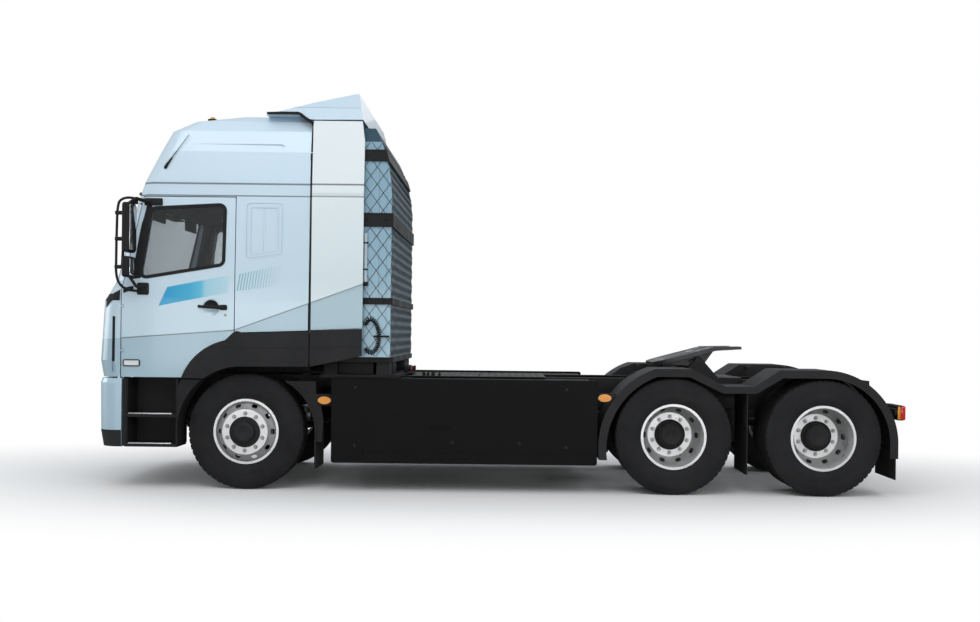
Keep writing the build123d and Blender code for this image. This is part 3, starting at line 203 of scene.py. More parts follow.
def car_paint(name, upper, lower, rough=0.34, low=1.0, high=2.9, metallic=0.15, coat=0.35, middle=None,
              lined=False):
    """Metallic paint: fine flake, a tone that follows height (with middle set, painted light and shade), and
    uneven gloss.
    """
    mat, tree, bsdf = principled(name, upper, rough, metallic, coat, coat_rough=0.06)
    if middle:
        tone = cab_side_painted_shade(tree, upper, middle, lower)
    else:
        tone = ramp(tree, spread(tree, place_along(tree, "Z"), low, high), (0.0, lower), (1.0, upper))
    flake = ramp(tree, noise(tree, 900, 2), (0.3, (0.95, 0.96, 0.97)), (0.7, (1, 1, 1)))
    colour = blend(tree, 1.0, tone, flake, "MULTIPLY")
    if lined:
        mask = inside_mask(tree)
        colour = blend(tree, mask, colour, (0.045, 0.046, 0.05))
        shine = maths(tree, "MULTIPLY", maths(tree, "SUBTRACT", 1.0, mask), coat)
        tree.links.new(shine, bsdf.inputs["Coat Weight"])
    tree.links.new(colour, bsdf.inputs["Base Color"])
    uneven_gloss(tree, bsdf, noise(tree, 1.3, 2), rough - 0.04, rough + 0.05)
    return mat


def moulded(name, color, rough=0.55, grain=260.0, depth=0.0004, film=0.10, spec=0.14):
    """Grained plastic, rubber or satin paint under a light film of dust."""
    mat, tree, bsdf = principled(name, color, rough, spec=spec)
    dust = noise(tree, 3.2, 4, 0.6)
    dusty = tuple(c + film * (0.12 - c) for c in color)
    tree.links.new(ramp(tree, dust, (0.35, color), (0.75, dusty)), bsdf.inputs["Base Color"])
    uneven_gloss(tree, bsdf, dust, rough - 0.06, rough + 0.12)
    grained(tree, bsdf, noise(tree, grain), 0.35, depth)
    return mat


def bare_metal(name, color, rough=0.35, metallic=1.0, scale=120.0):
    mat, tree, bsdf = principled(name, color, rough, metallic)
    cloud = noise(tree, 7.0, 4, 0.6)
    dull = tuple(c * 0.82 for c in color)
    tree.links.new(ramp(tree, cloud, (0.3, dull), (0.7, color)), bsdf.inputs["Base Color"])
    uneven_gloss(tree, bsdf, cloud, rough - 0.08, rough + 0.12)
    grained(tree, bsdf, noise(tree, scale), 0.2, 0.0003)
    return mat


def clear(name, color, rough=0.02, transmission=1.0):
    mat, tree, bsdf = principled(name, color, rough)
    bsdf.inputs["Transmission Weight"].default_value = transmission
    bsdf.inputs["IOR"].default_value = 1.45
    uneven_gloss(tree, bsdf, noise(tree, 5.0), rough, rough + 0.03)
    return mat


def stripe_film(name, start, end, *stops):
    """Printed film whose colour changes along the truck, between two stations."""
    mat, tree, bsdf = principled(name, stops[0][1], 0.4, coat=0.3)
    share = spread(tree, place_along(tree, "X"), P(start, 0, 0).x, P(end, 0, 0).x)
    tree.links.new(ramp(tree, share, *stops), bsdf.inputs["Base Color"])
    uneven_gloss(tree, bsdf, noise(tree, 6.0, 2), 0.36, 0.46)
    return mat


# Cab and fairing paints: painted light upwards and painted shade below the pressed line
PAINT = car_paint("cab_paint", (0.60, 0.74, 0.84), (0.35, 0.49, 0.56), middle=(0.50, 0.64, 0.71), lined=True)
PALE = car_paint(
    "fairing_paint", (0.76, 0.83, 0.85), (0.36, 0.50, 0.56), 0.4, middle=(0.62, 0.72, 0.75), metallic=0.05,
    coat=0.3)
BUMPER = car_paint("bumper_paint", (0.44, 0.60, 0.70), (0.40, 0.54, 0.62), 0.3, 0.5, 1.0)
PACK = car_paint("pack_paint", (0.22, 0.37, 0.47), (0.30, 0.46, 0.55), 0.45, 1.2, 3.2)
# Near-black blue for the pack's top, a painted shade
PACK_TOP_SHADE_PAINT = car_paint("pack_cap_paint", (0.035, 0.075, 0.105), (0.05, 0.10, 0.14), 0.55, 3.0, 3.3, 0.0, 0.0)
PACK_TOP_SHADE_PAINT.node_tree.nodes["Principled BSDF"].inputs["Specular IOR Level"].default_value = 0.15
PLASTIC = moulded("black_plastic", (0.012, 0.012, 0.013))
SOFT_PLASTIC = moulded("wing_plastic", (0.018, 0.018, 0.019), 0.6, 220.0, 0.0005)
CHASSIS = moulded("chassis_paint", (0.010, 0.010, 0.011), 0.45, 90.0, 0.0003)
SKIRT = moulded("skirt_paint", (0.004, 0.004, 0.0045), 0.5, 60.0, 0.0002, 0.03, 0.08)
RUBBER = moulded("tyre_rubber", (0.012, 0.012, 0.013), 0.72, 180.0, 0.0005, 0.12)
SEAL = moulded("seal_rubber", (0.014, 0.014, 0.015), 0.62, 160.0, 0.0003, 0.08)
FLAP = moulded("flap_rubber", (0.012, 0.012, 0.012), 0.7, 140.0, 0.0005, 0.14)
WHEEL = bare_metal("wheel_silver", (0.70, 0.70, 0.70), 0.33, 0.7)
NUT = bare_metal("nut_steel", (0.36, 0.36, 0.36), 0.34, 0.95, 90.0)
HUB = moulded("hub_paint", (0.014, 0.014, 0.015), 0.5, 70.0, 0.0004, 0.12)
IRON = bare_metal("coupler_iron", (0.05, 0.05, 0.052), 0.45, 0.6, 70.0)
GREASE = moulded("grease", (0.006, 0.005, 0.004), 0.22, 50.0, 0.0009, 0.02)
CAST = bare_metal("motor_casting", (0.30, 0.31, 0.32), 0.5, 0.8, 60.0)
BRIGHT = bare_metal("tread_edge", (0.80, 0.80, 0.80), 0.3)
MIRROR_GLASS = bare_metal("mirror_glass", (0.80, 0.82, 0.84), 0.1, 1.0, 20.0)
CHROME = bare_metal("lamp_reflector", (0.85, 0.86, 0.88), 0.16)
TRIM = moulded("interior_trim", (0.035, 0.036, 0.040), 0.65, 200.0, 0.0004, 0.08)
LINING = moulded("cab_lining", (0.10, 0.10, 0.105), 0.8, 240.0, 0.0004, 0.08)
SEAT = moulded("seat_fabric", (0.045, 0.048, 0.055), 0.85, 420.0, 0.0008)
GLASS = clear("window_glass", (0.56, 0.60, 0.62))
AMBER = clear("amber_lens", (0.95, 0.36, 0.02), 0.08, 0.35)
RED = clear("red_lens", (0.72, 0.03, 0.02), 0.08, 0.3)
LAMP = clear("lamp_lens", (0.92, 0.95, 0.96), 0.04, 0.9)
WHITE_LENS = clear("white_lens", (0.86, 0.87, 0.88), 0.2, 0.2)
HOSE = moulded("hose_plastic", (0.010, 0.010, 0.011), 0.35, 80.0, 0.0002, 0.05)
PIPE = moulded("pale_pipe", (0.50, 0.60, 0.66), 0.45, 80.0, 0.0002)
STRIPE = stripe_film(
    "door_stripe", -784, -148, (0.0, (0.003, 0.30, 0.58)), (0.45, (0.04, 0.40, 0.63)),
    (0.60, (0.09, 0.48, 0.68)), (0.66, (0.33, 0.60, 0.72)), (1.0, (0.46, 0.66, 0.75)))
HATCH = stripe_film(
    "hatch_lines", -85, 310, (0.0, (0.19, 0.42, 0.50)), (0.55, (0.26, 0.47, 0.55)), (1.0, (0.47, 0.62, 0.71)))

LOOKS = {
    PAINT: "cab_shell front_panel high_roof roof_deflector door_left door_right", BUMPER: "bumper",
    PALE: "side_fairings", GLASS: "door_glass_left door_glass_right windscreen", LAMP: "headlamps",
    SOFT_PLASTIC: "cab_wings rear_mudguards", SKIRT: "side_skirts side_packs",
    TRIM: "dashboard steering_wheel", SEAT: "seats_and_bunk", IRON: "coupler_plate", CAST: "drive_unit",
    CHASSIS: "frame_rails crossmembers cab_mounts front_axle_beam front_springs rear_axles rear_suspension"
             " coupler_base deck_plates battery_base battery_cage tie_rod knuckle_left knuckle_right"
             " propshafts air_tanks",
    PACK: "battery_pack", FLAP: "mud_flaps", AMBER: "side_markers", RED: "tail_lamps", HOSE: "coil_hose",
}
# The slot of the pieces made from a look; all the others are black plastic unless they say more
look_of = {name: look for look, names in LOOKS.items() for name in names.split()}
for name, obj in nodes.items():
    usual = RUBBER if name.startswith("tyre") else WHEEL if name.startswith("rim") else PLASTIC
    for slot in obj.material_slots:
        slot.material = look_of.get(name, usual)


# Making pieces
def fit_cube(part, a, b):
    """A cube of unit size stretched between two corners."""
    bmesh.ops.create_cube(part, size=1)
    low, high = Vector(map(min, a, b)), Vector(map(max, a, b))
    for v in part.verts:
        v.co = Vector(((low[i] + high[i]) / 2 + v.co[i] * (high[i] - low[i])) for i in range(3))


def grid(bm, rows, closed=False):
    """Quads between rows of points; closed joins each row's ends."""
    made = [[bm.verts.new(p) for p in row] for row in rows]
    for a, b in zip(made, made[1:]):
        count = len(a)
        for i in range(count if closed else count - 1):
            j = (i + 1) % count
            bm.faces.new((a[i], a[j], b[j], b[i]))
    return made


class Build:
    """A piece in the making, in millimetres; a piece of the left side is mirrored."""

    def __init__(self, side=None):
        self.bm = bmesh.new()
        self.side = side
        self.sign = -1 if side == "left" else 1

    def done(self, name, material, smooth=40, body="chassis", slot=None):
        """Turns the mesh into a piece that rides on a body."""
        bm = self.bm
        name = f"{name}_{self.side}" if self.side else name
        bmesh.ops.remove_doubles(bm, verts=bm.verts, dist=1e-6)
        bmesh.ops.recalc_face_normals(bm, faces=bm.faces)
        mesh = bpy.data.meshes.new(name)
        bm.to_mesh(mesh)
        bm.free()
        mesh.materials.append(material)
        for face in mesh.polygons:
            face.use_smooth = True
        mesh.set_sharp_from_angle(angle=math.radians(smooth))
        obj = put(name, mesh)
        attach(obj, body)
        return obj

    def point(self, x, y, z):
        return P(x, self.sign * y, z)

    def add(self, part, soft=0):
        """Takes in another mesh, its edges rounded first."""
        if soft:
            bmesh.ops.bevel(
                part, geom=part.edges[:], offset=soft / 1000, segments=2, affect="EDGES", profile=0.5)
        table = {v: self.bm.verts.new(v.co) for v in part.verts}
        for face in part.faces:
            self.bm.faces.new([table[v] for v in face.verts])
        part.free()
        return self

    def block(self, x0, x1, y0, y1, z0, z1, soft=4):
        """A block with rounded edges."""
        part = bmesh.new()
        fit_cube(part, self.point(x0, y0, z0), self.point(x1, y1, z1))
        return self.add(part, soft)

    def blocks(self, *rows):
        for row in rows:
            self.block(*row)
        return self

    def skin(self, rows, closed=False, cap=False):
        """A surface through rows of points, with a lid on the last row if cap is set."""
        made = grid(self.bm, [[self.point(*p) for p in row] for row in rows], closed)
        if cap:
            self.bm.faces.new(made[-1])
        return self

    def lathe(self, profile, centre, steps=48, axis="Y", way=1):
        """A profile of radius and offset turned about an axis through the centre."""
        cx, cy, cz = centre
        cy *= self.sign
        rows = []
        for a in turned(steps):
            row = []
            for r, t in profile:
                u, v = r * math.cos(a), r * math.sin(a)
                dx, dy, dz = {"X": (t, u, v), "Y": (u, self.sign * way * t, v), "Z": (u, v, t)}[axis]
                row.append(P(cx + dx, cy + dy, cz + dz))
            rows.append(row)
        grid(self.bm, rows + rows[:1])
        return self

    def tube(self, points, radius, sides=8, caps=True):
        """A round tube through points; one radius in millimetres, or one for each point."""
        points = [p if isinstance(p, Vector) else self.point(*p) for p in points]
        count = len(points)
        radii = radius if isinstance(radius, list) else [radius] * count
        steps = ((points[min(i + 1, count - 1)] - points[max(i - 1, 0)]) for i in range(count))
        tangents = [step.normalized() for step in steps]
        up = Vector((0, 0, 1)) if abs(tangents[0].z) < 0.9 else Vector((1, 0, 0))
        across = tangents[0].cross(up).normalized()
        rows = []
        for point, tangent, r in zip(points, tangents, radii):
            across = (across - tangent * across.dot(tangent)).normalized()
            other = tangent.cross(across)
            reach = r / 1000
            rows.append([point + (across * math.cos(a) + other * math.sin(a)) * reach for a in turned(sides)])
        made = grid(self.bm, rows, closed=True)
        if caps:
            self.bm.faces.new(made[0])
            self.bm.faces.new(made[-1])
        return self

    def slab(self, outline, y0, y1, soft=0):
        """An outline of stations and heights made solid from y0 to y1."""
        part = bmesh.new()
        loops = [[part.verts.new(self.point(x, y, z)) for x, z in outline] for y in (y0, y1)]
        part.faces.new(loops[0])
        part.faces.new(loops[1])
        count = len(outline)
        for i in range(count):
            j = (i + 1) % count
            part.faces.new((loops[0][i], loops[0][j], loops[1][j], loops[1][i]))
        return self.add(part, soft)

    def wrap(self, form, heights, out, rear):
        """A skin laid round a form, both sides, out beyond its surface."""
        rows = []
        for z in heights:
            half = plan_points(form, z, out, rear)
            rows.append([(x, -y, z) for x, y in half] + [(x, y, z) for x, y in half[-2::-1]])
        return self.skin(rows)

    def ring(self, form, outer, inner, low, high):
        """A raised ring between two loops of station and height, on one side of a form."""
        rows = [[(x, side_y(form, x, z, out), z) for x, z in loop]
                for loop, out in ((outer, low), (outer, high), (inner, high), (inner, low))]
        return self.skin(rows + rows[:1], closed=True)

    def film(self, form, low, high, out, columns=12):
        """A thin film over the area between a lower and an upper line of station and height."""
        rows = []
        for t in spaced(0, 1, columns + 1):
            a, b = Vector(low[0]).lerp(Vector(low[1]), t), Vector(high[0]).lerp(Vector(high[1]), t)
            across = [a.lerp(b, k / 4) for k in range(5)]
            rows.append([(p.x, side_y(form, p.x, p.y, out), p.y) for p in across])
        return self.skin(rows)


def rounded_path(points, steps=6):
    """A smooth path through the same points."""
    path = []
    count = len(points)
    for i in range(count - 1):
        a, b = points[max(i - 1, 0)], points[i]
        c, d = points[i + 1], points[min(i + 2, count - 1)]
        for k in range(steps):
            t = k / steps
            bend = (2 * a - 5 * b + 4 * c - d) * t**2 + (3 * b - a - 3 * c + d) * t**3
            path.append(0.5 * (2 * b + (c - a) * t + bend))
    return path + [points[-1]]


def rounded_loop(points, radius, grow=0.0, steps=7):
    """Points of a polygon with rounded corners, moved outward by grow. The polygon runs one way round."""
    count = len(points)
    following = points[1:] + points[:1]
    turn = 1 if sum(a[0] * b[1] - b[0] * a[1] for a, b in zip(points, following)) > 0 else -1
    loop = []
    for i in range(count):
        a, b, c = (Vector(points[(i + k) % count]) for k in (-1, 0, 1))
        u, v = (b - a).normalized(), (c - b).normalized()
        nu, nv = Vector((u.y, -u.x)) * turn, Vector((v.y, -v.x)) * turn
        half = (nu + nv).normalized()
        corner = b + half * (grow / max(0.2, half.dot(nu)))
        r = max(2.0, radius + grow)
        angle = math.acos(max(-1, min(1, u.dot(v))))
        reach = r * math.tan(angle / 2)
        centre = corner - half * (r / math.cos(angle / 2))
        start = math.atan2(*(corner - u * reach - centre).yx)
        for t in spaced(start, start + angle * turn, steps):
            loop.append((centre.x + r * math.cos(t), centre.y + r * math.sin(t)))
    return loop


# The cab's outer form, worked out as in the part's source: height, nose, corner, half width, radius
CAB = ((1012, -1405, -1290, 1212, 170), (1160, -1430, -1318, 1215, 180), (1690, -1412, -1285, 1215, 180),
       (1880, -1335, -1160, 1213, 170), (2700, -1150, -945, 1188, 150))
ROOF = ((2700, -1150, -945, 1188, 150), (2790, -1130, -912, 1186, 150), (3060, -985, -782, 1162, 150),
        (3250, -860, -690, 1130, 140), (3345, -660, -500, 1085, 130), (3400, -250, -120, 1010, 120))
BUMPER_FORM = ((385, -1395, -1275, 1235, 170), (536, -1418, -1300, 1244, 180), (960, -1424, -1305, 1246, 180),
               (1000, -1412, -1292, 1240, 170))
CORNER_SHARE = 0.811


def section(form, z):
    """A form's nose, corner, half width and corner radius at a height."""
    z = min(max(z, form[0][0]), form[-1][0])
    for low, high in zip(form, form[1:]):
        if low[0] <= z <= high[0]:
            share = (z - low[0]) / (high[0] - low[0])
            return [a + (b - a) * share for a, b in zip(low[1:], high[1:])]


def side_y(form, station, z, out=0.0):
    """Half width of a form at a station and height, and out beyond it."""
    nose, corner, half, radius = section(form, z)
    centre = corner + CORNER_SHARE * radius
    if station >= centre:
        return half + out
    return half - radius + math.sqrt(max(0.0, (radius + out) ** 2 - (station - centre) ** 2))


def front_x(form, y, z, out=0.0):
    """Station of a form's front at a width and height."""
    nose, corner, half, radius = section(form, z)
    bow = corner - nose
    bend = (half * half + bow * bow) / (2 * bow)
    return nose - out + bend - math.sqrt(bend * bend - y * y)


def front_point(form, y, z, out=0.0):
    return front_x(form, y, z, out), y, z


def plan_points(form, z, out, rear, steps=22):
    """One side of a plan outline, from the rear round the corner to the middle of the front."""
    nose, corner, half, radius = section(form, z)
    centre_x, centre_y, reach = corner + CORNER_SHARE * radius, half - radius, radius + out
    bow = corner - nose
    bend = (half * half + bow * bow) / (2 * bow)
    first, last = math.pi / 2, math.pi / 2 + math.acos(min(1.0, half / bend))
    if rear < centre_x:
        first = math.acos((rear - centre_x) / reach)
    points = [(max(rear, centre_x + reach * math.cos(first)), centre_y + reach * math.sin(first))]
    for a in spaced(first, last, 10):
        points.append((centre_x + reach * math.cos(a), centre_y + reach * math.sin(a)))
    for y in spaced(points[-1][1], 0, steps)[1:]:
        points.append(front_point(form, y, z, out)[:2])
    return points


# Tyres: grooved tread, shoulder blocks, ribs on the sidewall
TYRE_PROFILE = (
    (288, 112), (296, 118), (318, 124), (330, 131), (352, 137), (392, 141), (398, 139.5), (404, 141),
    (440, 139), (470, 133), (476, 131), (490, 127), (505, 121), (514, 117),
)
TREAD_RADIUS = 524.5
GROOVES = (84, 30, -30, -84)
GROOVE_WIDTH = 9
GROOVE_DEPTH = 13
SHOULDER = 60
SHOULDER_CUT = 14
PITCHES = 56
PITCH = ((0.0, 0), (0.05, 1), (0.24, 1), (0.29, 0))


def tyre_rows(lug):
    """The profile from bead to bead; the shoulder blocks are cut where lug is 1."""
    cut = SHOULDER_CUT * lug
    side = [*TYRE_PROFILE, (522 - cut, 113 - 3 * lug), (524 - cut, 106)]
    floor = TREAD_RADIUS - GROOVE_DEPTH
    tread = []
    for g in GROOVES:
        outer, inner = cut if g > SHOULDER else 0, cut if g < -SHOULDER else 0
        tread += [(TREAD_RADIUS - outer, g + GROOVE_WIDTH), (floor, g + GROOVE_WIDTH * 0.6),
                  (floor, g - GROOVE_WIDTH * 0.6), (TREAD_RADIUS - inner, g - GROOVE_WIDTH)]
    return side + tread + [(r, -t) for r, t in reversed(side)]


def tyre(bm, cx, cy):
    rows = []
    for i in range(PITCHES):
        for share, lug in PITCH:
            a = 2 * math.pi * (i + share) / PITCHES
            c, s = math.cos(a), math.sin(a)
            rows.append([P(cx + r * c, cy + t, AXLE_HEIGHT + r * s) for r, t in tyre_rows(lug)])
    grid(bm, rows + rows[:1])


NUT_RADIUS = 15
NUT_CIRCLE = 167
HUB_BOLT_CIRCLE = 117


def nut(build, centre, base, turn):
    """A nut with its washer and stud end, pointing outboard."""
    cx, cy, cz = centre
    r, top = NUT_RADIUS, base + 24
    build.lathe([(r * 1.25, base), (r * 1.25, base + 4), (r * 1.1, base + 6), (0.5, base + 6)], centre, 14)
    profile = ((r, base + 5), (r, top - 2), (r * 0.85, top), (7, top), (7, top + 7), (0.5, top + 8))
    build.skin([
        [(cx + r * math.cos(turn + a), cy + t, cz + r * math.sin(turn + a)) for a in turned(6)]
        for r, t in profile
    ], closed=True)


def around(centre, radius, start):
    """Ten points round a wheel's centre, each with its angle."""
    x, y, z = centre
    return [((x + radius * math.sin(a), y, z + radius * math.cos(a)), a) for a in turned(10, start)]


def wheel_details(name, side, body, station, width, face, hub_profile, bolt_face):
    centre = (station, width, AXLE_HEIGHT)
    nuts = Build(side)
    for at, a in around(centre, NUT_CIRCLE, 0.0):
        nut(nuts, at, face, a)
    nuts.done(f"wheel_nuts_{name}", NUT, 30, body)
    hub = Build(side).lathe(hub_profile, centre, 56)
    for at, a in around(centre, HUB_BOLT_CIRCLE, 0.5):
        hub.lathe([(9, bolt_face - 4), (9, bolt_face + 7), (7, bolt_face + 9), (0.5, bolt_face + 9)], at, 6)
    hub.done(f"hub_cover_{name}", HUB, 35, body)
    x, y, z = station + 176, width + face - 20, AXLE_HEIGHT - 150
    valve = Build(side).tube([(x, y, z), (x + 20, y + 30, z - 15), (x + 30, y + 60, z - 20)], 4)
    valve.done(f"valve_{name}", NUT, 40, body)


FRONT_HUB = ((139, 171), (139, 175), (134, 176), (128, 181), (99, 181.5), (96, 186), (92, 222), (84, 228),
             (78, 229), (74, 232), (40, 233), (36, 230.5), (0.5, 230.5))
REAR_HUB = ((139, 14), (140, 31), (134, 38), (126, 42), (118, 44), (113, 60), (110, 111), (102, 116),
            (92, 120), (86, 125.5), (40, 127), (36, 125), (0.5, 125))
FRONT_TRACK = 1018
REAR_TRACK = 930
TWIN_OFFSET = 168
DRIVEN_AXLES = (("middle", 3870), ("rear", 5220))
for side in SIDES:
    rubber = Build(side)
    tyre(rubber.bm, 0, rubber.sign * FRONT_TRACK)
    obj = rubber.done("road_tyre_front", RUBBER, 32, f"wheel_front_{side}")
    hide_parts(f"tyre_front_{side}")
    wheel_details("front", side, f"wheel_front_{side}", 0, FRONT_TRACK, 165, FRONT_HUB, 181)
    for axle, station in DRIVEN_AXLES:
        rubber = Build(side)
        for offset in (-TWIN_OFFSET, TWIN_OFFSET):
            tyre(rubber.bm, station, rubber.sign * REAR_TRACK + offset)
        obj = rubber.done(f"road_tyres_{axle}", RUBBER, 32, f"wheels_{axle}_{side}")
        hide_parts(f"tyres_{axle}_{side}")
        wheel_details(axle, side, f"wheels_{axle}_{side}", station, REAR_TRACK, 12, REAR_HUB, 43)

# Both sides of the cab
WINDOW = ((-952, 1912), (-212, 2040), (-204, 2566), (-858, 2528))
BLANK_WINDOW = ((-5, 2080), (325, 2132), (325, 2596), (-5, 2596))
LOW_LAMP = ((-1098, 1108), (-946, 1108), (-946, 1170), (-1098, 1170))
MIRROR_LOOP = (
    (-925, 1210, 2594), (-1000, 1330, 2612), (-1062, 1394, 2592), (-1096, 1402, 2525), (-1104, 1404, 2300),
    (-1106, 1404, 2080), (-1104, 1402, 1930), (-1080, 1376, 1840), (-1020, 1318, 1792), (-940, 1226, 1786),
)
SEAL_SECTION = ((558, -26), (563, -5), (570, 1), (584, 1), (592, -8), (592, -30))
ROOF_SEAL = ((165, 3402), (165, 3419), (300, 3424), (452, 3424), (478, 3412), (566, 3346), (590, 3340),
             (590, 3322), (562, 3324), (470, 3390), (450, 3402))
SHADOW_BOWL_RADIUS = 151.5
for side in SIDES:
    # Window surround, handle with a painted shadow behind it, lock
    door = f"door_{side}"
    surround = Build(side).ring(CAB, rounded_loop(WINDOW, 45, 24, 9), rounded_loop(WINDOW, 45, -7, 9), -8, 4)
    surround.done("window_rubber", SEAL, 50, door)
    bar, radii = [], []
    for k, t in enumerate(spaced(0, 1, 13)):
        lift = 26 * math.sin(math.pi * min(1, max(0, (t + 0.02) / 0.9))) ** 0.5
        bar.append((-426 + 262 * t, CAB_HALF + 4 + lift * 0.75, 1652 - 6 * t))
        radii.append(12 + 9 * t if 0 < k < 12 else 6)
    b = Build(side).tube(bar, radii, 12)
    b.block(-232, -166, CAB_HALF - 6, CAB_HALF + 22, 1622, 1670, 9)
    b.block(-430, -404, CAB_HALF - 6, CAB_HALF + 12, 1640, 1668, 6)
    b.done("door_handle", PLASTIC, 50, door)
    # A black bowl over the upper half of the handle's recess, a painted shadow
    Build(side).skin([
        [(-311 + r * math.cos(a), CAB_HALF + 131 - math.sqrt(SHADOW_BOWL_RADIUS**2 - r * r), 1643 + r * math.sin(a))
         for r in (1, 20, 40, 58, 70)]
        for a in spaced(0, math.pi, 25)
    ]).done("handle_painted_shadow", PLASTIC, 50, door)
    b = Build(side).lathe([(12, -3), (12, 3), (10, 5), (6, 5), (5, 3), (0.5, 3)], (-181, CAB_HALF, 1576), 20)
    b.done("door_lock", NUT, 40, door)

    # Mirror brackets, tube and glass, gusset, door trim
    b = Build(side).blocks(
        (-926, -762, 1182, 1212, 2560, 2626, 10), (-978, -872, 1196, 1236, 1752, 1862, 14),
        (-1012, -958, 1262, 1300, 2560, 2596, 8), (-1046, -1004, 1352, 1392, 2300, 2350, 8),
        (-1046, -1004, 1352, 1392, 1985, 2020, 8))
    for y, z in ((1211, 2572), (1236, 1832)):
        b.lathe([(9, 0), (9, 6), (0.5, 8)], (-950, y, z), 8)
    b.done("mirror_bracket", PLASTIC, 45, door)
    b = Build(side)
    b.tube(rounded_path([b.point(*p) for p in MIRROR_LOOP]), 11.5, 12)
    for z in (2470, 2240, 1992):
        b.block(-1118, -1020, 1388, 1420, z - 17, z + 17, 6)
    b.done("mirror_loop", PLASTIC, 50, door)
    b = Build(side).film(CAB, ((-1030, 1892), (-946, 1904)), ((-920, 2600), (-852, 2556)), 3.5, 6)
    b.done("window_gusset", SEAL, 50, door)
    inner = CAB_HALF - DOOR_DEPTH
    b = Build(side).blocks(
        (-1050, -150, inner - 14, inner + 2, 1260, 1880, 7),
        (-900, -260, inner - 62, inner - 10, 1600, 1648, 16),
        (-980, -420, inner - 44, inner - 10, 1290, 1400, 12))
    b.lathe([(82, 0), (82, 6), (76, 9), (0.5, 6)], (-930, inner - 12, 1500), 32, way=-1)
    b.done("door_trim", TRIM, 45, door)
    b = Build(side).blocks((-966, -961, 1303, 1487, 2142, 2538, 2), (-966, -961, 1303, 1477, 1918, 2067, 2))
    b.done("mirror_glass", MIRROR_GLASS, 45, door)

    # Printed stripe on the door and slanted lines behind it, plain
    b = Build(side).film(CAB, ((-784, 1655), (-167, 1781)), ((-707, 1825), (-148, 1938)), 0.8, 14)
    b.done("door_stripe", STRIPE, 60, door)
    b = Build(side)
    for i in range(15):
        x, z, width, rise = -82 + 25.8 * i, 1793 + 3.8 * i, 11 - 0.35 * i, 158 + 1.6 * i
        low = ((x, z), (x + width, z + 2))
        b.film(CAB, low, ((x + 25, z + rise), (x + 25 + width, z + rise + 2)), 0.8, 2)
    b.done("hatch_lines", HATCH, 60, "cab")

    # Beads round the blanked side window, blank lamp lens low on the door, slot in the front corner
    b = Build(side)
    for size in (0, -42):
        outer, inner = (rounded_loop(BLANK_WINDOW, 44, size + grow, 8) for grow in (4, -4))
        b.ring(CAB, outer, inner, -2, 2.8)
    b.skin([[(160 + dx, side_y(CAB, 160, z, out), z) for z in (2150, 2300, 2450, 2540)]
            for dx, out in ((-7, -1), (-2, 2.4), (2, 2.4), (7, -1))])
    b.done("blank_window_beads", PAINT, 60, "cab")
    b = Build(side).ring(CAB, rounded_loop(LOW_LAMP, 14, 0, 5), rounded_loop(LOW_LAMP, 14, -9, 5), -6, 7)
    b.done("door_lamp_frame", SEAL, 40, door)
    b = Build(side).film(CAB, ((-1092, 1115), (-952, 1115)), ((-1092, 1163), (-952, 1163)), 3.5, 8)
    b.done("door_lamp_lens", WHITE_LENS, 40, door, slot="amber_lens")
    b = Build(side).skin([[(x, side_y(CAB, x, z, -14), z) for x in (-1204, -1194, -1182, -1170)]
                          for z in spaced(1150, 1555, 20)])
    b.done("corner_slot", PLASTIC, 60, "cab")

    # Seal between cab and fairing, and along the roof's rear edge
    rows = []
    for z in spaced(1452, 3335, 40):
        y = side_y(CAB if z < CAB[-1][0] else ROOF, 560, min(z, 3250)) - max(0, z - 3250) * 0.5
        # A little further out over the fairing's bracket
        y += 5 if 2950 < z < 3080 else 0
        rows.append([(x, y + dy, z) for x, dy in SEAL_SECTION])
    Build(side).skin(rows).done("fairing_seal", SEAL, 60, "cab")
    Build(side).slab(ROOF_SEAL, 1040, 1184, 3).done("roof_seal", SEAL, 40, "cab")

    # Aerial, roof marker lamp on its base
    y = side_y(ROOF, -720, 2912)
    b = Build(side).tube(
        [(-752, y - 12, 2900), (-745, y + 6, 2908), (-735, y + 10, 2925), (-700, y + 8, 2978),
         (-684, y + 6, 3002)], [13, 14, 13, 8, 6], 10)
    b.tube([(-686, y + 6, 3000), (-612, y - 2, 3104), (-538, y - 14, 3210)], [4, 3, 2.5], 6)
    b.done("aerial", PLASTIC, 50, "cab")
    Build(side).block(-386, -346, 990, 1026, 3368, 3394, 8).done("roof_lamp", AMBER, 50, "cab")
    Build(side).block(-404, -328, 976, 1040, 3360, 3376, 5).done("roof_lamp_base", PLASTIC, 50, "cab")

    # The cowl's end below the windscreen, split at the door's front edge
    for part, body, start, end in (("door", door, 0.0, 0.355), ("corner", "cab", 0.465, 1.0)):
        rows = []
        for t in spaced(start, end, 11):
            x = -1010 - 262 * t
            low, high = 1792 - 30 * t - 130 * t * t, 1832 - 40 * t - 70 * t * t
            rows.append([(x, side_y(CAB, x, z, 3), z) for z in spaced(low, high, 5)])
        Build(side).skin(rows).done(f"cowl_{part}", PLASTIC, 60, body)


def deflector_top(x):
    """Height of the roof deflector's upper edge at a station."""
    if x < 590:
        return 3400 + (x - 153) * 128 / 437
    if x < 965:
        return 3528 + (x - 590) * 92 / 375
    return 3616 - (x - 965) * 1.6


# Outer skin on the deflector's sloping sides
for side in SIDES:
    Build(side).skin([
        [(x, CAB_HALF - 95 - 90 * (z - 3470) / 155 + 2.2, z + 1.3)
         for z in spaced(3474, deflector_top(x) - 7, 6)]
        for x in spaced(402, 1002, 17)
    ]).done("deflector_skin", PAINT, 40, "cab")

# Front of the cab: windscreen rubber, black cowl with wipers, grille backing, lower bumper, lamps
SCREEN = ((-1085, 1770), (1085, 1770), (1040, 2620), (-1040, 2620))


def screen_loop(grow):
    """The screen's outline, grown, with its long sides divided."""
    loop = rounded_loop(SCREEN, 90, grow, 9)
    out = []
    for a, b in zip(loop, loop[1:] + loop[:1]):
        out.append(a)
        parts = 18 if math.dist(a, b) > 300 else 1
        out += [(a[0] + (b[0] - a[0]) * k / parts, a[1] + (b[1] - a[1]) * k / parts) for k in range(1, parts)]
    return out


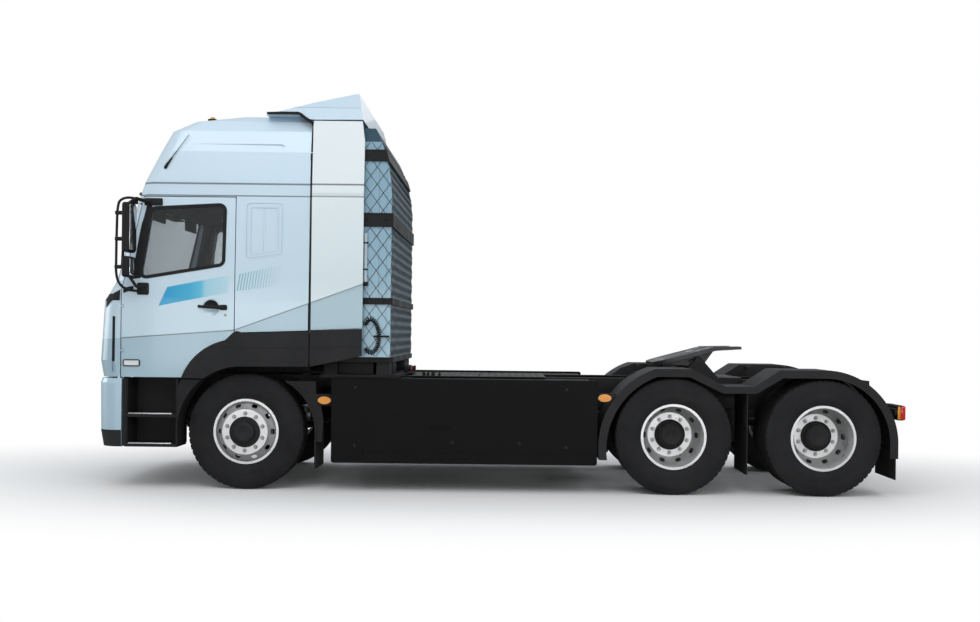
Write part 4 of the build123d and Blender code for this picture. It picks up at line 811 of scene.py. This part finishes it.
def screen_point(y, z, out):
    nose, corner, half, radius = section(CAB, z)
    if abs(y) <= half - radius * 0.80:
        return front_point(CAB, y, z, out)
    a = math.acos(max(-1, min(1, (abs(y) - (half - radius)) / (radius + out))))
    return corner + CORNER_SHARE * radius - (radius + out) * math.sin(a), y, z


outer, inner = screen_loop(30), screen_loop(-8)
rows = [[screen_point(y, z, out) for y, z in loop]
        for loop, out in ((outer, -8), (outer, 5), (inner, 5), (inner, -10))]
Build().skin(rows + rows[:1], closed=True).done("windscreen_rubber", SEAL, 50, "cab")
Build().wrap(CAB, (1700, 1716, 1734, 1750, 1762), 4, -1132).done("cowl", PLASTIC, 50, "cab")

b = Build()
for start, tip in ((-760, -150), (60, 640)):
    middle = (start + tip) / 2
    pivot = P(*front_point(CAB, start, 1735, 14))
    joint = P(front_x(CAB, middle, 1790, 22), middle + 60, 1800)
    arm = [pivot + Vector((0.02, 0, 0)), pivot, (pivot + joint) / 2 + Vector((-0.006, 0, 0)), joint]
    b.tube(arm, [16, 13, 8, 6], 8)
    blade = [P(*front_point(CAB, y, z, 12))
             for y, z in zip(spaced(start + 90, tip + 160, 14), spaced(1792, 1818, 14))]
    b.tube(blade, 6, 6)
    b.tube([p + Vector((0.006, 0, -0.004)) for p in blade], 3, 4)
b.done("wipers", PLASTIC, 50, "cab")

b = Build()
for z in spaced(1110, 1458, 9):
    b.tube([front_point(CAB, y, z, -13) for y in spaced(-790, 790, 25)], 2.5, 5)
for y in spaced(-790, 790, 41):
    b.tube([front_point(CAB, y, z, -13) for z in (1108, 1160, 1290, 1468)], 2.5, 5)
b.skin([[front_point(CAB, y, z, -17) for y in spaced(-800, 800, 49)]
        for z in (1100, 1130, 1160, 1240, 1320, 1400, 1475)])
b.done("grille_mesh", PLASTIC, 50, "cab")

b = Build().wrap(BUMPER_FORM, (386, 398, 440, 490, 524, 535), -2.5, -1101)
b.done("bumper_lower", SOFT_PLASTIC, 50)

b = Build()
for y in spaced(-600, 600, 25):
    b.tube([front_point(BUMPER_FORM, y, z, -45) for z in (602, 788)], 4, 5)
for z in (625, 690, 752):
    b.tube([front_point(BUMPER_FORM, y, z, -45) for y in spaced(-605, 605, 21)], 4, 5)
b.skin([[front_point(BUMPER_FORM, y, z, -54) for y in spaced(-640, 640, 33)] for z in (584, 640, 700, 806)])
b.done("intake_mesh", PLASTIC, 50)

for side in SIDES:
    bowls, rings = Build(side), Build(side)
    for y, z, r in ((880, 778, 52), (1000, 782, 46)):
        centre = front_point(BUMPER_FORM, y, z)
        bowls.lathe([(r, 12), (r * 0.92, 20), (r * 0.7, 34), (r * 0.3, 42), (0.5, 43)], centre, 32, "X")
        rings.lathe([(r, 10), (r + 6, 10), (r + 6, 22), (r, 22)], centre, 32, "X")
    bowls.done("lamp_bowls", CHROME, 50)
    rings.done("lamp_rings", PLASTIC, 50)

# Step edges: bright serrated strips on the nose of each tread
for side in SIDES:
    b = Build(side)
    for z in (415, 683):
        b.block(-1042, -652, 1196, 1231, z - 3, z + 5, 2)
        for x in range(-1037, -647, 10):
            b.block(x, x + 5, 1198, 1231.5, z + 4, z + 8, 0)
    b.done("step_edges", BRIGHT, 30)

# Upright pack: a dark sheet over its top as painted shade, diamond net, pale pipe
PACK_FRONT, PACK_REAR, PACK_TOP, PACK_LOW = 640, 1297, 3285, 1212
PACK_SIDE = 1130
SHADE_LOW = 3168
ARC_LOW = PACK_TOP - 600


def circle_through(a, b, c):
    """Centre and radius of the circle through three points."""
    (ax, ay), (bx, by), (cx, cy) = a, b, c
    d = 2 * (ax * (by - cy) + bx * (cy - ay) + cx * (ay - by))
    sa, sb, sc = ax**2 + ay**2, bx**2 + by**2, cx**2 + cy**2
    ux = (sa * (by - cy) + sb * (cy - ay) + sc * (ay - by)) / d
    uy = (sa * (cx - bx) + sb * (ax - cx) + sc * (bx - ax)) / d
    return ux, uy, math.dist((ux, uy), a)


arc_x, arc_z, arc_r = circle_through(
    (PACK_REAR - 150, PACK_TOP), (PACK_REAR - 42, PACK_TOP - 290), (PACK_REAR, ARC_LOW))


def pack_rear(z, out=0.0):
    """Station of the pack's rear face at a height."""
    if z <= ARC_LOW:
        return PACK_REAR + out
    return arc_x + math.sqrt((arc_r + out) ** 2 - (z - arc_z) ** 2)


# A dark sheet over the top of the pack, standing in for the shade there
outline = [(PACK_FRONT + 2, SHADE_LOW), (PACK_FRONT + 2, PACK_TOP + 3), (PACK_REAR - 152, PACK_TOP + 3)]
outline += [(pack_rear(z, 3), z) for z in spaced(PACK_TOP - 4, SHADE_LOW, 9)]
Build().slab(outline, -PACK_SIDE - 3, PACK_SIDE + 3, 2).done("pack_cap", PACK_TOP_SHADE_PAINT)

NET_WIDE, NET_TALL, NET_OUT, WIRE = 116, 157, 5, 2.1
NET_LOW, NET_TOP = PACK_LOW + 6, PACK_TOP - 124
b = Build()
for slope in (NET_WIDE / NET_TALL, -NET_WIDE / NET_TALL):
    for y in (-PACK_SIDE - NET_OUT, PACK_SIDE + NET_OUT):
        for n in range(-30, 31):
            line = []
            for z in spaced(NET_LOW, NET_TOP, 301):
                x = PACK_FRONT + 60 + n * NET_WIDE + slope * (z - PACK_LOW)
                if PACK_FRONT + 4 < x < pack_rear(z, NET_OUT):
                    line.append((x, y, z))
            if len(line) > 1:
                b.tube([line[0], line[-1]], WIRE, 5, False)
    for n in range(-40, 41):
        line = []
        for z in spaced(NET_LOW, NET_TOP, 151):
            y = n * NET_WIDE + slope * (z - PACK_LOW)
            if abs(y) < PACK_SIDE + NET_OUT:
                line.append((pack_rear(z, NET_OUT), y, z))
        if len(line) > 1:
            bent = [p for p in line[1:-1] if p[2] > ARC_LOW][::6]
            b.tube([line[0], *bent, line[-1]], WIRE, 5, False)
b.done("pack_net", CHASSIS, 60, slot="pack_bands")

for side in SIDES:
    b = Build(side).tube([(1068, PACK_SIDE + 22, z) for z in (1890, 2100, 2336)], 17, 16)
    b.done("pack_pipe", PIPE, 50)
    b = Build(side)
    b.block(1046, 1094, PACK_SIDE - 2, PACK_SIDE + 42, 1858, 1894, 5)
    for z in (2000, 2240):
        b.block(1048, 1088, PACK_SIDE - 2, PACK_SIDE + 42, z, z + 14, 3)
    b.done("pipe_clips", PLASTIC, 50)
    b = Build(side)
    for z0, z1 in ((2990, 3095), (2395, 2520), (1690, 1750)):
        for x in range(PACK_FRONT + 110, PACK_FRONT + 770, 165):
            if x < pack_rear(z1) - 30:
                b.lathe([(13, 20), (13, 25), (10, 28), (0.5, 28)], (x, PACK_SIDE, (z0 + z1) / 2), 6)
        for z, low in ((z1, z1 - 9), (z0, z0 + 3)):
            b.block(PACK_FRONT + 60, pack_rear(z, 14), PACK_SIDE + 19, PACK_SIDE + 24, low, low + 6, 1)
    b.done("band_bolts", CHASSIS, slot="pack_bands")

# Coiled air hose in place of its plain tube, with couplings and its arm
HOSE_Y = -1158
HOSE_ROUTE = ((-239, 288), (-231, 344), (-171, 348), (-125, 266), (-115, 160), (-141, 64), (-205, 30),
              (-243, 78))
COIL_TURNS, COIL_STEPS, COIL_RADIUS = 27, 18, 0.0190
guide = bpy.data.curves.new("hose_guide", "CURVE")
guide.dimensions = "3D"
spline = guide.splines.new("NURBS")
spline.points.add(len(HOSE_ROUTE) - 1)
for point, (dx, dz) in zip(spline.points, HOSE_ROUTE):
    point.co = (*P(1317 + dx, HOSE_Y, PACK_LOW + dz), 1)
spline.order_u = 3
spline.use_endpoint_u = True
spline.resolution_u = 24
guide_obj = put("hose_guide", guide)
bpy.context.view_layer.update()
guide_mesh = bpy.data.meshes.new_from_object(guide_obj)
line = [v.co.copy() for v in guide_mesh.vertices]
bpy.data.objects.remove(guide_obj)
bpy.data.meshes.remove(guide_mesh)
lengths = [0.0]
for start, end in zip(line, line[1:]):
    lengths.append(lengths[-1] + (end - start).length)
coil = []
for k in range(COIL_TURNS * COIL_STEPS + 1):
    s = lengths[-1] * k / (COIL_TURNS * COIL_STEPS)
    i = min(max(j for j, length in enumerate(lengths) if length <= s + 1e-9), len(line) - 2)
    t = (s - lengths[i]) / max(1e-9, lengths[i + 1] - lengths[i])
    out = Vector((0, 1, 0))
    other = (line[i + 1] - line[i]).normalized().cross(out).normalized()
    a = 2 * math.pi * k / COIL_STEPS
    coil.append(line[i].lerp(line[i + 1], t) + (out * math.cos(a) + other * math.sin(a)) * COIL_RADIUS)
b = Build().tube(coil, 4.4, 6)
for end, inner in ((line[0], line[6]), (line[-1], line[-7])):
    b.tube([inner, end + (end - inner) * 0.02], 11, 10)
b.block(1150, 1290, -1160, -1130, 1392, 1410, 3)
hose = b.done("air_hose_coil", HOSE, 60)
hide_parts("coil_hose")

# Side skirts: seams, edge trims, latches
SKIRT_OUTLINE = ((800, 274), (3167, 274), (3167, 1014), (800, 1014))
for side in SIDES:
    outer, inner = rounded_loop(SKIRT_OUTLINE, 22, 0, 6), rounded_loop(SKIRT_OUTLINE, 22, -9, 6)
    rows = [[(x, y, z) for x, z in loop]
            for loop, y in ((outer, 1247), (outer, 1251.5), (inner, 1251.5), (inner, 1247))]
    b = Build(side).skin(rows + rows[:1], closed=True)
    for x in (1385, 1978, 2572):
        b.block(x - 2, x + 2, 1247, 1251, 380, 1000, 0)
    b.done("skirt_trim", SKIRT)
    b = Build(side)
    for x, z in ((1880, 455), (2480, 455), (1000, 940), (2900, 940), (1000, 420), (2900, 420)):
        b.lathe([(15, -3), (15, 2.5), (12, 4), (5, 4), (4.5, 2), (0.5, 2)], (x, 1250, z), 20)
    b.done("skirt_locks", CHASSIS, slot="chassis_paint")

# Deck: raised tread marks, couplings and valves between pack and fifth wheel
MARK_BASE = 1026.3
b = Build()
for row in range(14):
    for col in range(36):
        x, y = 1462 + 34.5 * col + 17 * (row % 2), -525 + 80.8 * row
        long_x, long_y = (9, 3) if (row + col) % 2 else (3, 9)
        peak = b.bm.verts.new(P(x, y, MARK_BASE + 2.2))
        corners = ((x - long_x, y), (x, y - long_y), (x + long_x, y), (x, y + long_y))
        base = [b.bm.verts.new(P(*corner, MARK_BASE)) for corner in corners]
        for k in range(4):
            b.bm.faces.new((base[k], base[(k + 1) % 4], peak))
b.done("deck_marks", CHASSIS, 20, slot="chassis_paint")

b = Build()
for y in (-210, -120, 110, 200):
    b.block(1344, 1388, y - 26, y + 26, 1050, 1108, 6)
    b.lathe([(20, 0), (20, 26), (24, 28), (24, 40), (15, 46), (0.5, 46)], (1384, y, 1080), 18, "X")
b.block(1356, 1378, -260, 250, 1049, 1062, 3)
b.done("deck_couplings", PLASTIC, 45)
b = Build()
for y in (-210, 200):
    b.lathe([(25, 30), (26, 33), (26, 37), (25, 40)], (1384, y, 1080), 20, "X")
b.done("coupling_rings_red", RED, 45)
b = Build()
for x, size in ((1560, 30), (1600, 24), (1648, 34), (1710, 22)):
    b.block(x - size / 2, x + size / 2, -470, -430, 1026, 1026 + size, 4)
    b.lathe([(8, 0), (8, 14), (5, 16), (0.5, 16)], (x, -450, 1024 + size), 10, "Z")
b.done("deck_valves", PLASTIC, 45)

# Fifth wheel: grease on the plate, bolts and locking jaw, release handle
PLATE_TILT = math.radians(15)
PIVOT_STATION, PIVOT_HEIGHT = 4220, 1205


def on_plate(dx, y, h):
    """A point on the tilted plate: dx along it from the pivot and h above the pivot's line."""
    cos, sin = math.cos(PLATE_TILT), math.sin(PLATE_TILT)
    return PIVOT_STATION + dx * cos - h * sin, y, PIVOT_HEIGHT + dx * sin + h * cos


b = Build()
for sign in (-1, 1):
    patch = []
    for a in turned(40):
        wobble = 1 + 0.09 * math.sin(3 * a + sign) + 0.05 * math.sin(7 * a)
        patch.append((-130 + 210 * math.cos(a) * wobble, sign * (250 + 105 * math.sin(a) * wobble)))
    middle_x, middle_y = (sum(values) / len(patch) for values in zip(*patch))
    b.skin([
        [on_plate(middle_x + (x - middle_x) * share, middle_y + (y - middle_y) * share, lift)
         for x, y in patch]
        for share, lift in ((1.0, 84.6), (0.94, 86.8 * 0.7), (0.7, 86.8), (0.35, 86.8 * 0.8), (0.02, 86.8))
    ], closed=True)
b.done("plate_grease", GREASE, 60, "coupler_plate")
b = Build()
for sign in (-1, 1):
    for x, y in ((-330, 300), (-330, 120), (20, 380), (120, 300)):
        b.skin([[on_plate(x + r * math.cos(a), sign * y + r * math.sin(a), h) for a in turned(6)]
                for r, h in ((11, 85), (9, 87.5))], closed=True, cap=True)
b.skin([[on_plate(r * math.cos(a), r * math.sin(a), h) for a in spaced(0.32 * math.pi, 1.68 * math.pi, 21)]
        for r, h in ((27, 84), (27, 87), (34, 88), (46, 87), (48, 84))])
b.done("jaw_ring", CHROME, 40, "coupler_plate", slot="coupler_iron")
b = Build().tube([on_plate(-60, -300, 22), on_plate(-60, -430, 18), on_plate(-70, -452, 16)], 8, 10)
b.tube([on_plate(-70, -452, 16), on_plate(-90, -456, 10), on_plate(-110, -448, 16)], 7, 10)
b.done("release_handle", CHASSIS, 50, "coupler_plate", slot="coupler_iron")

# Lamps: rims of the side markers, tail clusters and the bar that carries them
for side in SIDES:
    b = Build(side)
    for x, z in ((724, 822), (3243, 870)):
        rows = [[(x + 58 * grow * math.cos(a), y, z + 34 * grow * math.sin(a)) for a in turned(36)]
                for grow, y in ((1.0, 1246.5), (1.17, 1246.5), (1.2, 1232), (1.0, 1232))]
        b.skin(rows + rows[:1], closed=True)
    b.done("marker_rims", PLASTIC)
    b = Build(side).blocks((5962, 5970, 1094, 1174, 698, 822, 6), (5899, 5924, 1172, 1180, 700, 820, 4))
    b.done("tail_amber", AMBER)
    Build(side).block(5962, 5970, 806, 884, 698, 822, 6).done("tail_white", WHITE_LENS)
    b = Build(side).blocks((5962, 5968, 886, 1092, 698, 822, 6), (5926, 5969, 1172, 1180, 700, 820, 4))
    for z in range(706, 816, 10):
        b.block(5966, 5970, 892, 1086, z, z + 4, 0)
    b.done("tail_red", RED, 30)

b = Build().block(5873, 5902, -1172, 1172, 740, 798, 3)
for y in range(-480, 600, 120):
    b.lathe([(9, 0), (9, 4), (0.5, 6)], (5902, y, 769), 6, "X")
b.blocks((5900, 5963, -800, -1174, 692, 828, 12), (5900, 5963, 800, 1174, 692, 828, 12))
carrier = b.done("tail_lamp_bar", PLASTIC)
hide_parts("tail_lamps")

# Splash sheets inboard of the rear tyres, hung from the mudguards
GUARD_LINE = ((3202, 330), (3222, 560), (3290, 790), (3440, 1000), (3560, 1090), (3700, 1132), (4030, 1132),
              (4329, 980), (4585, 980), (4820, 1132), (5290, 1132), (5500, 1070), (5690, 930), (5800, 770),
              (5878, 480))
for side in SIDES:
    stations = []
    for i, here in enumerate(GUARD_LINE):
        before = Vector(GUARD_LINE[max(i - 1, 0)])
        after = Vector(GUARD_LINE[min(i + 1, len(GUARD_LINE) - 1)])
        along = (after - before).normalized()
        down = Vector((along.y, -along.x))
        line = ((here, 603), (Vector(here) + down * 130, 603), (Vector(here) + down * 130, 607),
                (Vector(here) + down * 6, 607), (Vector(here) + down * 6, 640))
        stations.append([(at[0], y, at[1]) for at, y in reversed(line)])
    Build(side).skin(list(zip(*stations))).done("splash_sheet", SOFT_PLASTIC)

# Units and pipes between cab, pack and frame
b = Build().block(-600, 470, -350, 350, 1030, 1122, 14)
for x in range(-580, 484, 76):
    b.block(x, x + 14, -356, 356, 1036, 1127, 4)
for sign in (-1, 1):
    b.tube([(-590, sign * 300, 1060), (-650, sign * 320, 1045), (-760, sign * 330, 1035)], 22, 12)
    b.tube([(470, sign * 250, 1075), (560, sign * 260, 1072), (700, sign * 300, 1080)], 20, 12)
b.done("cooling_unit", PLASTIC, 45)
for side in SIDES:
    b = Build(side).blocks((760, 1136, 640, 1000, 1052, 1161, 8), (1160, 1290, 420, 800, 1052, 1150, 10))
    for x in range(850, 1130, 40):
        b.block(x, x + 12, 1000, 1006, 1064, 1138, 2)
    b.tube([(830, 980, 1120), (760, 960, 1128), (690, 930, 1120), (650, 900, 1090)], 14, 10)
    b.tube([(700, 1000, 1060), (620, 1010, 1066), (540, 980, 1070), (470, 900, 1060)], 12, 10)
    b.done("pack_junction", PLASTIC, 45)

# Inside the cab: seats, bunk mattress, board, sun visors and lining
SWELL_FRAMES = 12


def swell(obj, crown):
    """Blows a cushion up by cloth pressure, no point further than crown millimetres."""
    start = [v.co.copy() for v in obj.data.vertices]
    cloth = obj.modifiers.new("cloth", "CLOTH")
    cloth.settings.use_pressure = True
    cloth.settings.uniform_pressure_force = 4
    cloth.settings.effector_weights.gravity = 0
    cloth.point_cache.frame_end = SWELL_FRAMES + 2
    for f in range(1, SWELL_FRAMES + 1):
        scene.frame_set(f)
    deps = bpy.context.evaluated_depsgraph_get()
    moved = [v.co.copy() for v in obj.evaluated_get(deps).to_mesh().vertices]
    obj.evaluated_get(deps).to_mesh_clear()
    obj.modifiers.remove(cloth)
    scene.frame_set(1)
    for v, a, b in zip(obj.data.vertices, start, moved):
        step = b - a
        if step.length > crown / 1000:
            step = step.normalized() * (crown / 1000)
        v.co = a + step


def cushion(name, low, high, crown=10, lean=0.0, pivot=(0, 0, 0)):
    """A padded block in the cab: dense rounded form with smoothed faces, swollen and set at an angle."""
    part = bmesh.new()
    fit_cube(part, P(*low), P(*high))
    bmesh.ops.bevel(part, geom=part.edges[:], offset=0.028, segments=3, affect="EDGES", profile=0.5)
    bm = Build().add(part).bm
    if lean:
        bmesh.ops.rotate(bm, cent=P(*pivot), matrix=Matrix.Rotation(lean, 3, "Y"), verts=bm.verts)
    mesh = bpy.data.meshes.new(name)
    bm.to_mesh(mesh)
    bm.free()
    mesh.materials.append(SEAT)
    obj = put(name, mesh)
    bpy.context.view_layer.objects.active = obj
    obj.select_set(True)
    remesh = obj.modifiers.new("remesh", "REMESH")
    remesh.mode = "VOXEL"
    remesh.voxel_size = 0.022
    bpy.ops.object.modifier_apply(modifier=remesh.name)
    swell(obj, crown)
    smooth = obj.modifiers.new("smooth", "SUBSURF")
    smooth.levels = 1
    bpy.ops.object.modifier_apply(modifier=smooth.name)
    obj.select_set(False)
    for face in obj.data.polygons:
        face.use_smooth = True
    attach(obj, "cab")
    return obj


SEAT_Y = 560
BACK_FOOT = 1612
for side in SIDES:
    y = -SEAT_Y if side == "left" else SEAT_Y
    cushion(f"seat_cushion_{side}", (-632, y - 240, 1488), (-105, y + 240, 1610))
    cushion(f"seat_back_{side}", (-190, y - 228, BACK_FOOT), (-80, y + 228, 2270), 10, math.radians(12),
            (-130, y, BACK_FOOT))
    cushion(f"head_rest_{side}", (12, y - 120, 2215), (60, y + 120, 2284), 6)
    b = Build(side).block(-560, -120, SEAT_Y - 165, SEAT_Y + 165, 1202, 1478, 14)
    for z in range(1250, 1460, 42):
        b.block(-566, -114, SEAT_Y - 170, SEAT_Y + 170, z, z + 16, 5)
    b.done("seat_pedestal", TRIM, 45, "cab")
mattress = cushion("bunk_mattress", (78, -1090, 1650), (488, 1090, 1772), 8)
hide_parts("seats_and_bunk")
Build().block(74, 494, -1098, 1098, 1640, 1662, 6).done("bunk_board", TRIM, 45, "cab")
b = Build().block(-1120, -1000, -420, 420, 2560, 2572, 4)
for y in (-560, 560):
    b.block(-990, -978, y - 210, y + 210, 2466, 2590, 5)
b.done("sun_visors", LINING, 45, "cab")
b = Build().block(-1010, 490, -1090, 1090, 2660, 2690, 10)
for y in (-700, 0, 700):
    b.block(-800, 440, y - 12, y + 12, 2652, 2664, 4)
b.block(-960, -700, -760, 760, 2560, 2664, 20)
b.done("head_lining", LINING, 45, "cab")

# Floor that melts into white with distance, for the camera alone
WHITE = (1, 1, 1)
floor = bpy.data.meshes.new("floor")
floor.from_pydata([(-90, -90, 0), (90, -90, 0), (90, 90, 0), (-90, 90, 0)], [], [(0, 1, 2, 3)])
floor_obj = put("floor", floor)
floor_mat, tree, bsdf = principled("floor_pale", (0.93, 0.93, 0.93), 0.9, spec=0.1)
floor.materials.append(floor_mat)
camera_ray = node(tree, "LightPath", {}).outputs["Is Camera Ray"]
tree.links.new(blend(tree, camera_ray, (0.42, 0.42, 0.42), (0.93, 0.93, 0.93)), bsdf.inputs["Base Color"])
far_x = maths(tree, "MULTIPLY", place_along(tree, "X"), 0.5)
far_y = place_along(tree, "Y")
far = maths(tree, "SQRT", maths(
    tree, "ADD", maths(tree, "MULTIPLY", far_x, far_x), maths(tree, "MULTIPLY", far_y, far_y)))
fade = spread(tree, far, 1.9, 4.2, interpolation_type="SMOOTHSTEP")
white = node(tree, "Emission", {"Color": WHITE, "Strength": 1.0})
melt = node(tree, "MixShader", {
    "Fac": maths(tree, "MULTIPLY", fade, camera_ray), 1: bsdf.outputs["BSDF"], 2: white.outputs["Emission"]})
tree.links.new(melt.outputs["Shader"], tree.nodes["Material Output"].inputs["Surface"])

# Soft sky, white where the camera looks at it
world = bpy.data.worlds.new("studio")
scene.world = world
world.use_nodes = True
sky = world.node_tree
background = sky.nodes["Background"]
direction = node(sky, "TexCoord", {}).outputs["Generated"]
lift = spread(sky, node(sky, "SeparateXYZ", {"Vector": direction}).outputs["Z"], -0.1, 0.7)
shade = ramp(sky, lift, (0.0, (0.46, 0.48, 0.50)), (0.35, (0.74, 0.77, 0.80)), (1.0, (1.0, 1.03, 1.06)))
sky.links.new(shade, background.inputs["Color"])
background.inputs["Strength"].default_value = 0.66
plain_white = node(sky, "Background", {"Color": WHITE, "Strength": 1.0})
rays = node(sky, "LightPath", {}).outputs
through = maths(sky, "MAXIMUM", rays["Is Camera Ray"], rays["Is Transmission Ray"])
choose = node(sky, "MixShader", {
    "Fac": through, 1: background.outputs["Background"], 2: plain_white.outputs["Background"]})
sky.links.new(choose.outputs["Shader"], sky.nodes["World Output"].inputs["Surface"])

# Lamps: name, place, aim, size, power
for name, at, to, size, power in (
    ("key", (-3, -9, 9), (-1, 0, 1.6), (9, 5), 310), ("side", (0, -14, 1.2), (0, 0, 1.6), (14, 2.2), 360),
    ("fill", (6, -10, 5), (1, 0, 1.0), (6, 4), 200), ("rim", (2, 9, 8), (0, 0, 2), (9, 5), 110),
    ("front", (-15, 0, 3), (-3, 0, 1.6), (8, 4), 300),
):
    lamp = bpy.data.lights.new(name, "AREA")
    lamp.shape = "RECTANGLE"
    lamp.size, lamp.size_y = size
    lamp.energy = power
    lamp_obj = put(name, lamp)
    lamp_obj.location = at
    lamp_obj.rotation_euler = (Vector(to) - Vector(at)).to_track_quat("-Z", "Y").to_euler()

# Camera: lens and shifts in shares of the picture's width, and a slight roll
CAMERA_AT = (2367, -11727, 1445)
ROLL_SLOPE = 0.0113
PICTURE_WIDTH = 980
FOCAL_LENGTH = 1167
SENSOR = 36
camera_data = bpy.data.cameras.new("camera")
camera_data.sensor_width = SENSOR
camera_data.lens = FOCAL_LENGTH / PICTURE_WIDTH * SENSOR
camera_data.shift_x = -18 / PICTURE_WIDTH
camera_data.shift_y = 22 / PICTURE_WIDTH
camera_data.clip_end = 300
camera = put("camera", camera_data)
camera.matrix_world = (
    Matrix.Translation(P(*CAMERA_AT))
    @ Matrix.Rotation(math.radians(90), 4, "X")
    @ Matrix.Rotation(math.atan(ROLL_SLOPE), 4, "Z")
)
scene.camera = camera
scene.view_settings.view_transform = "Standard"
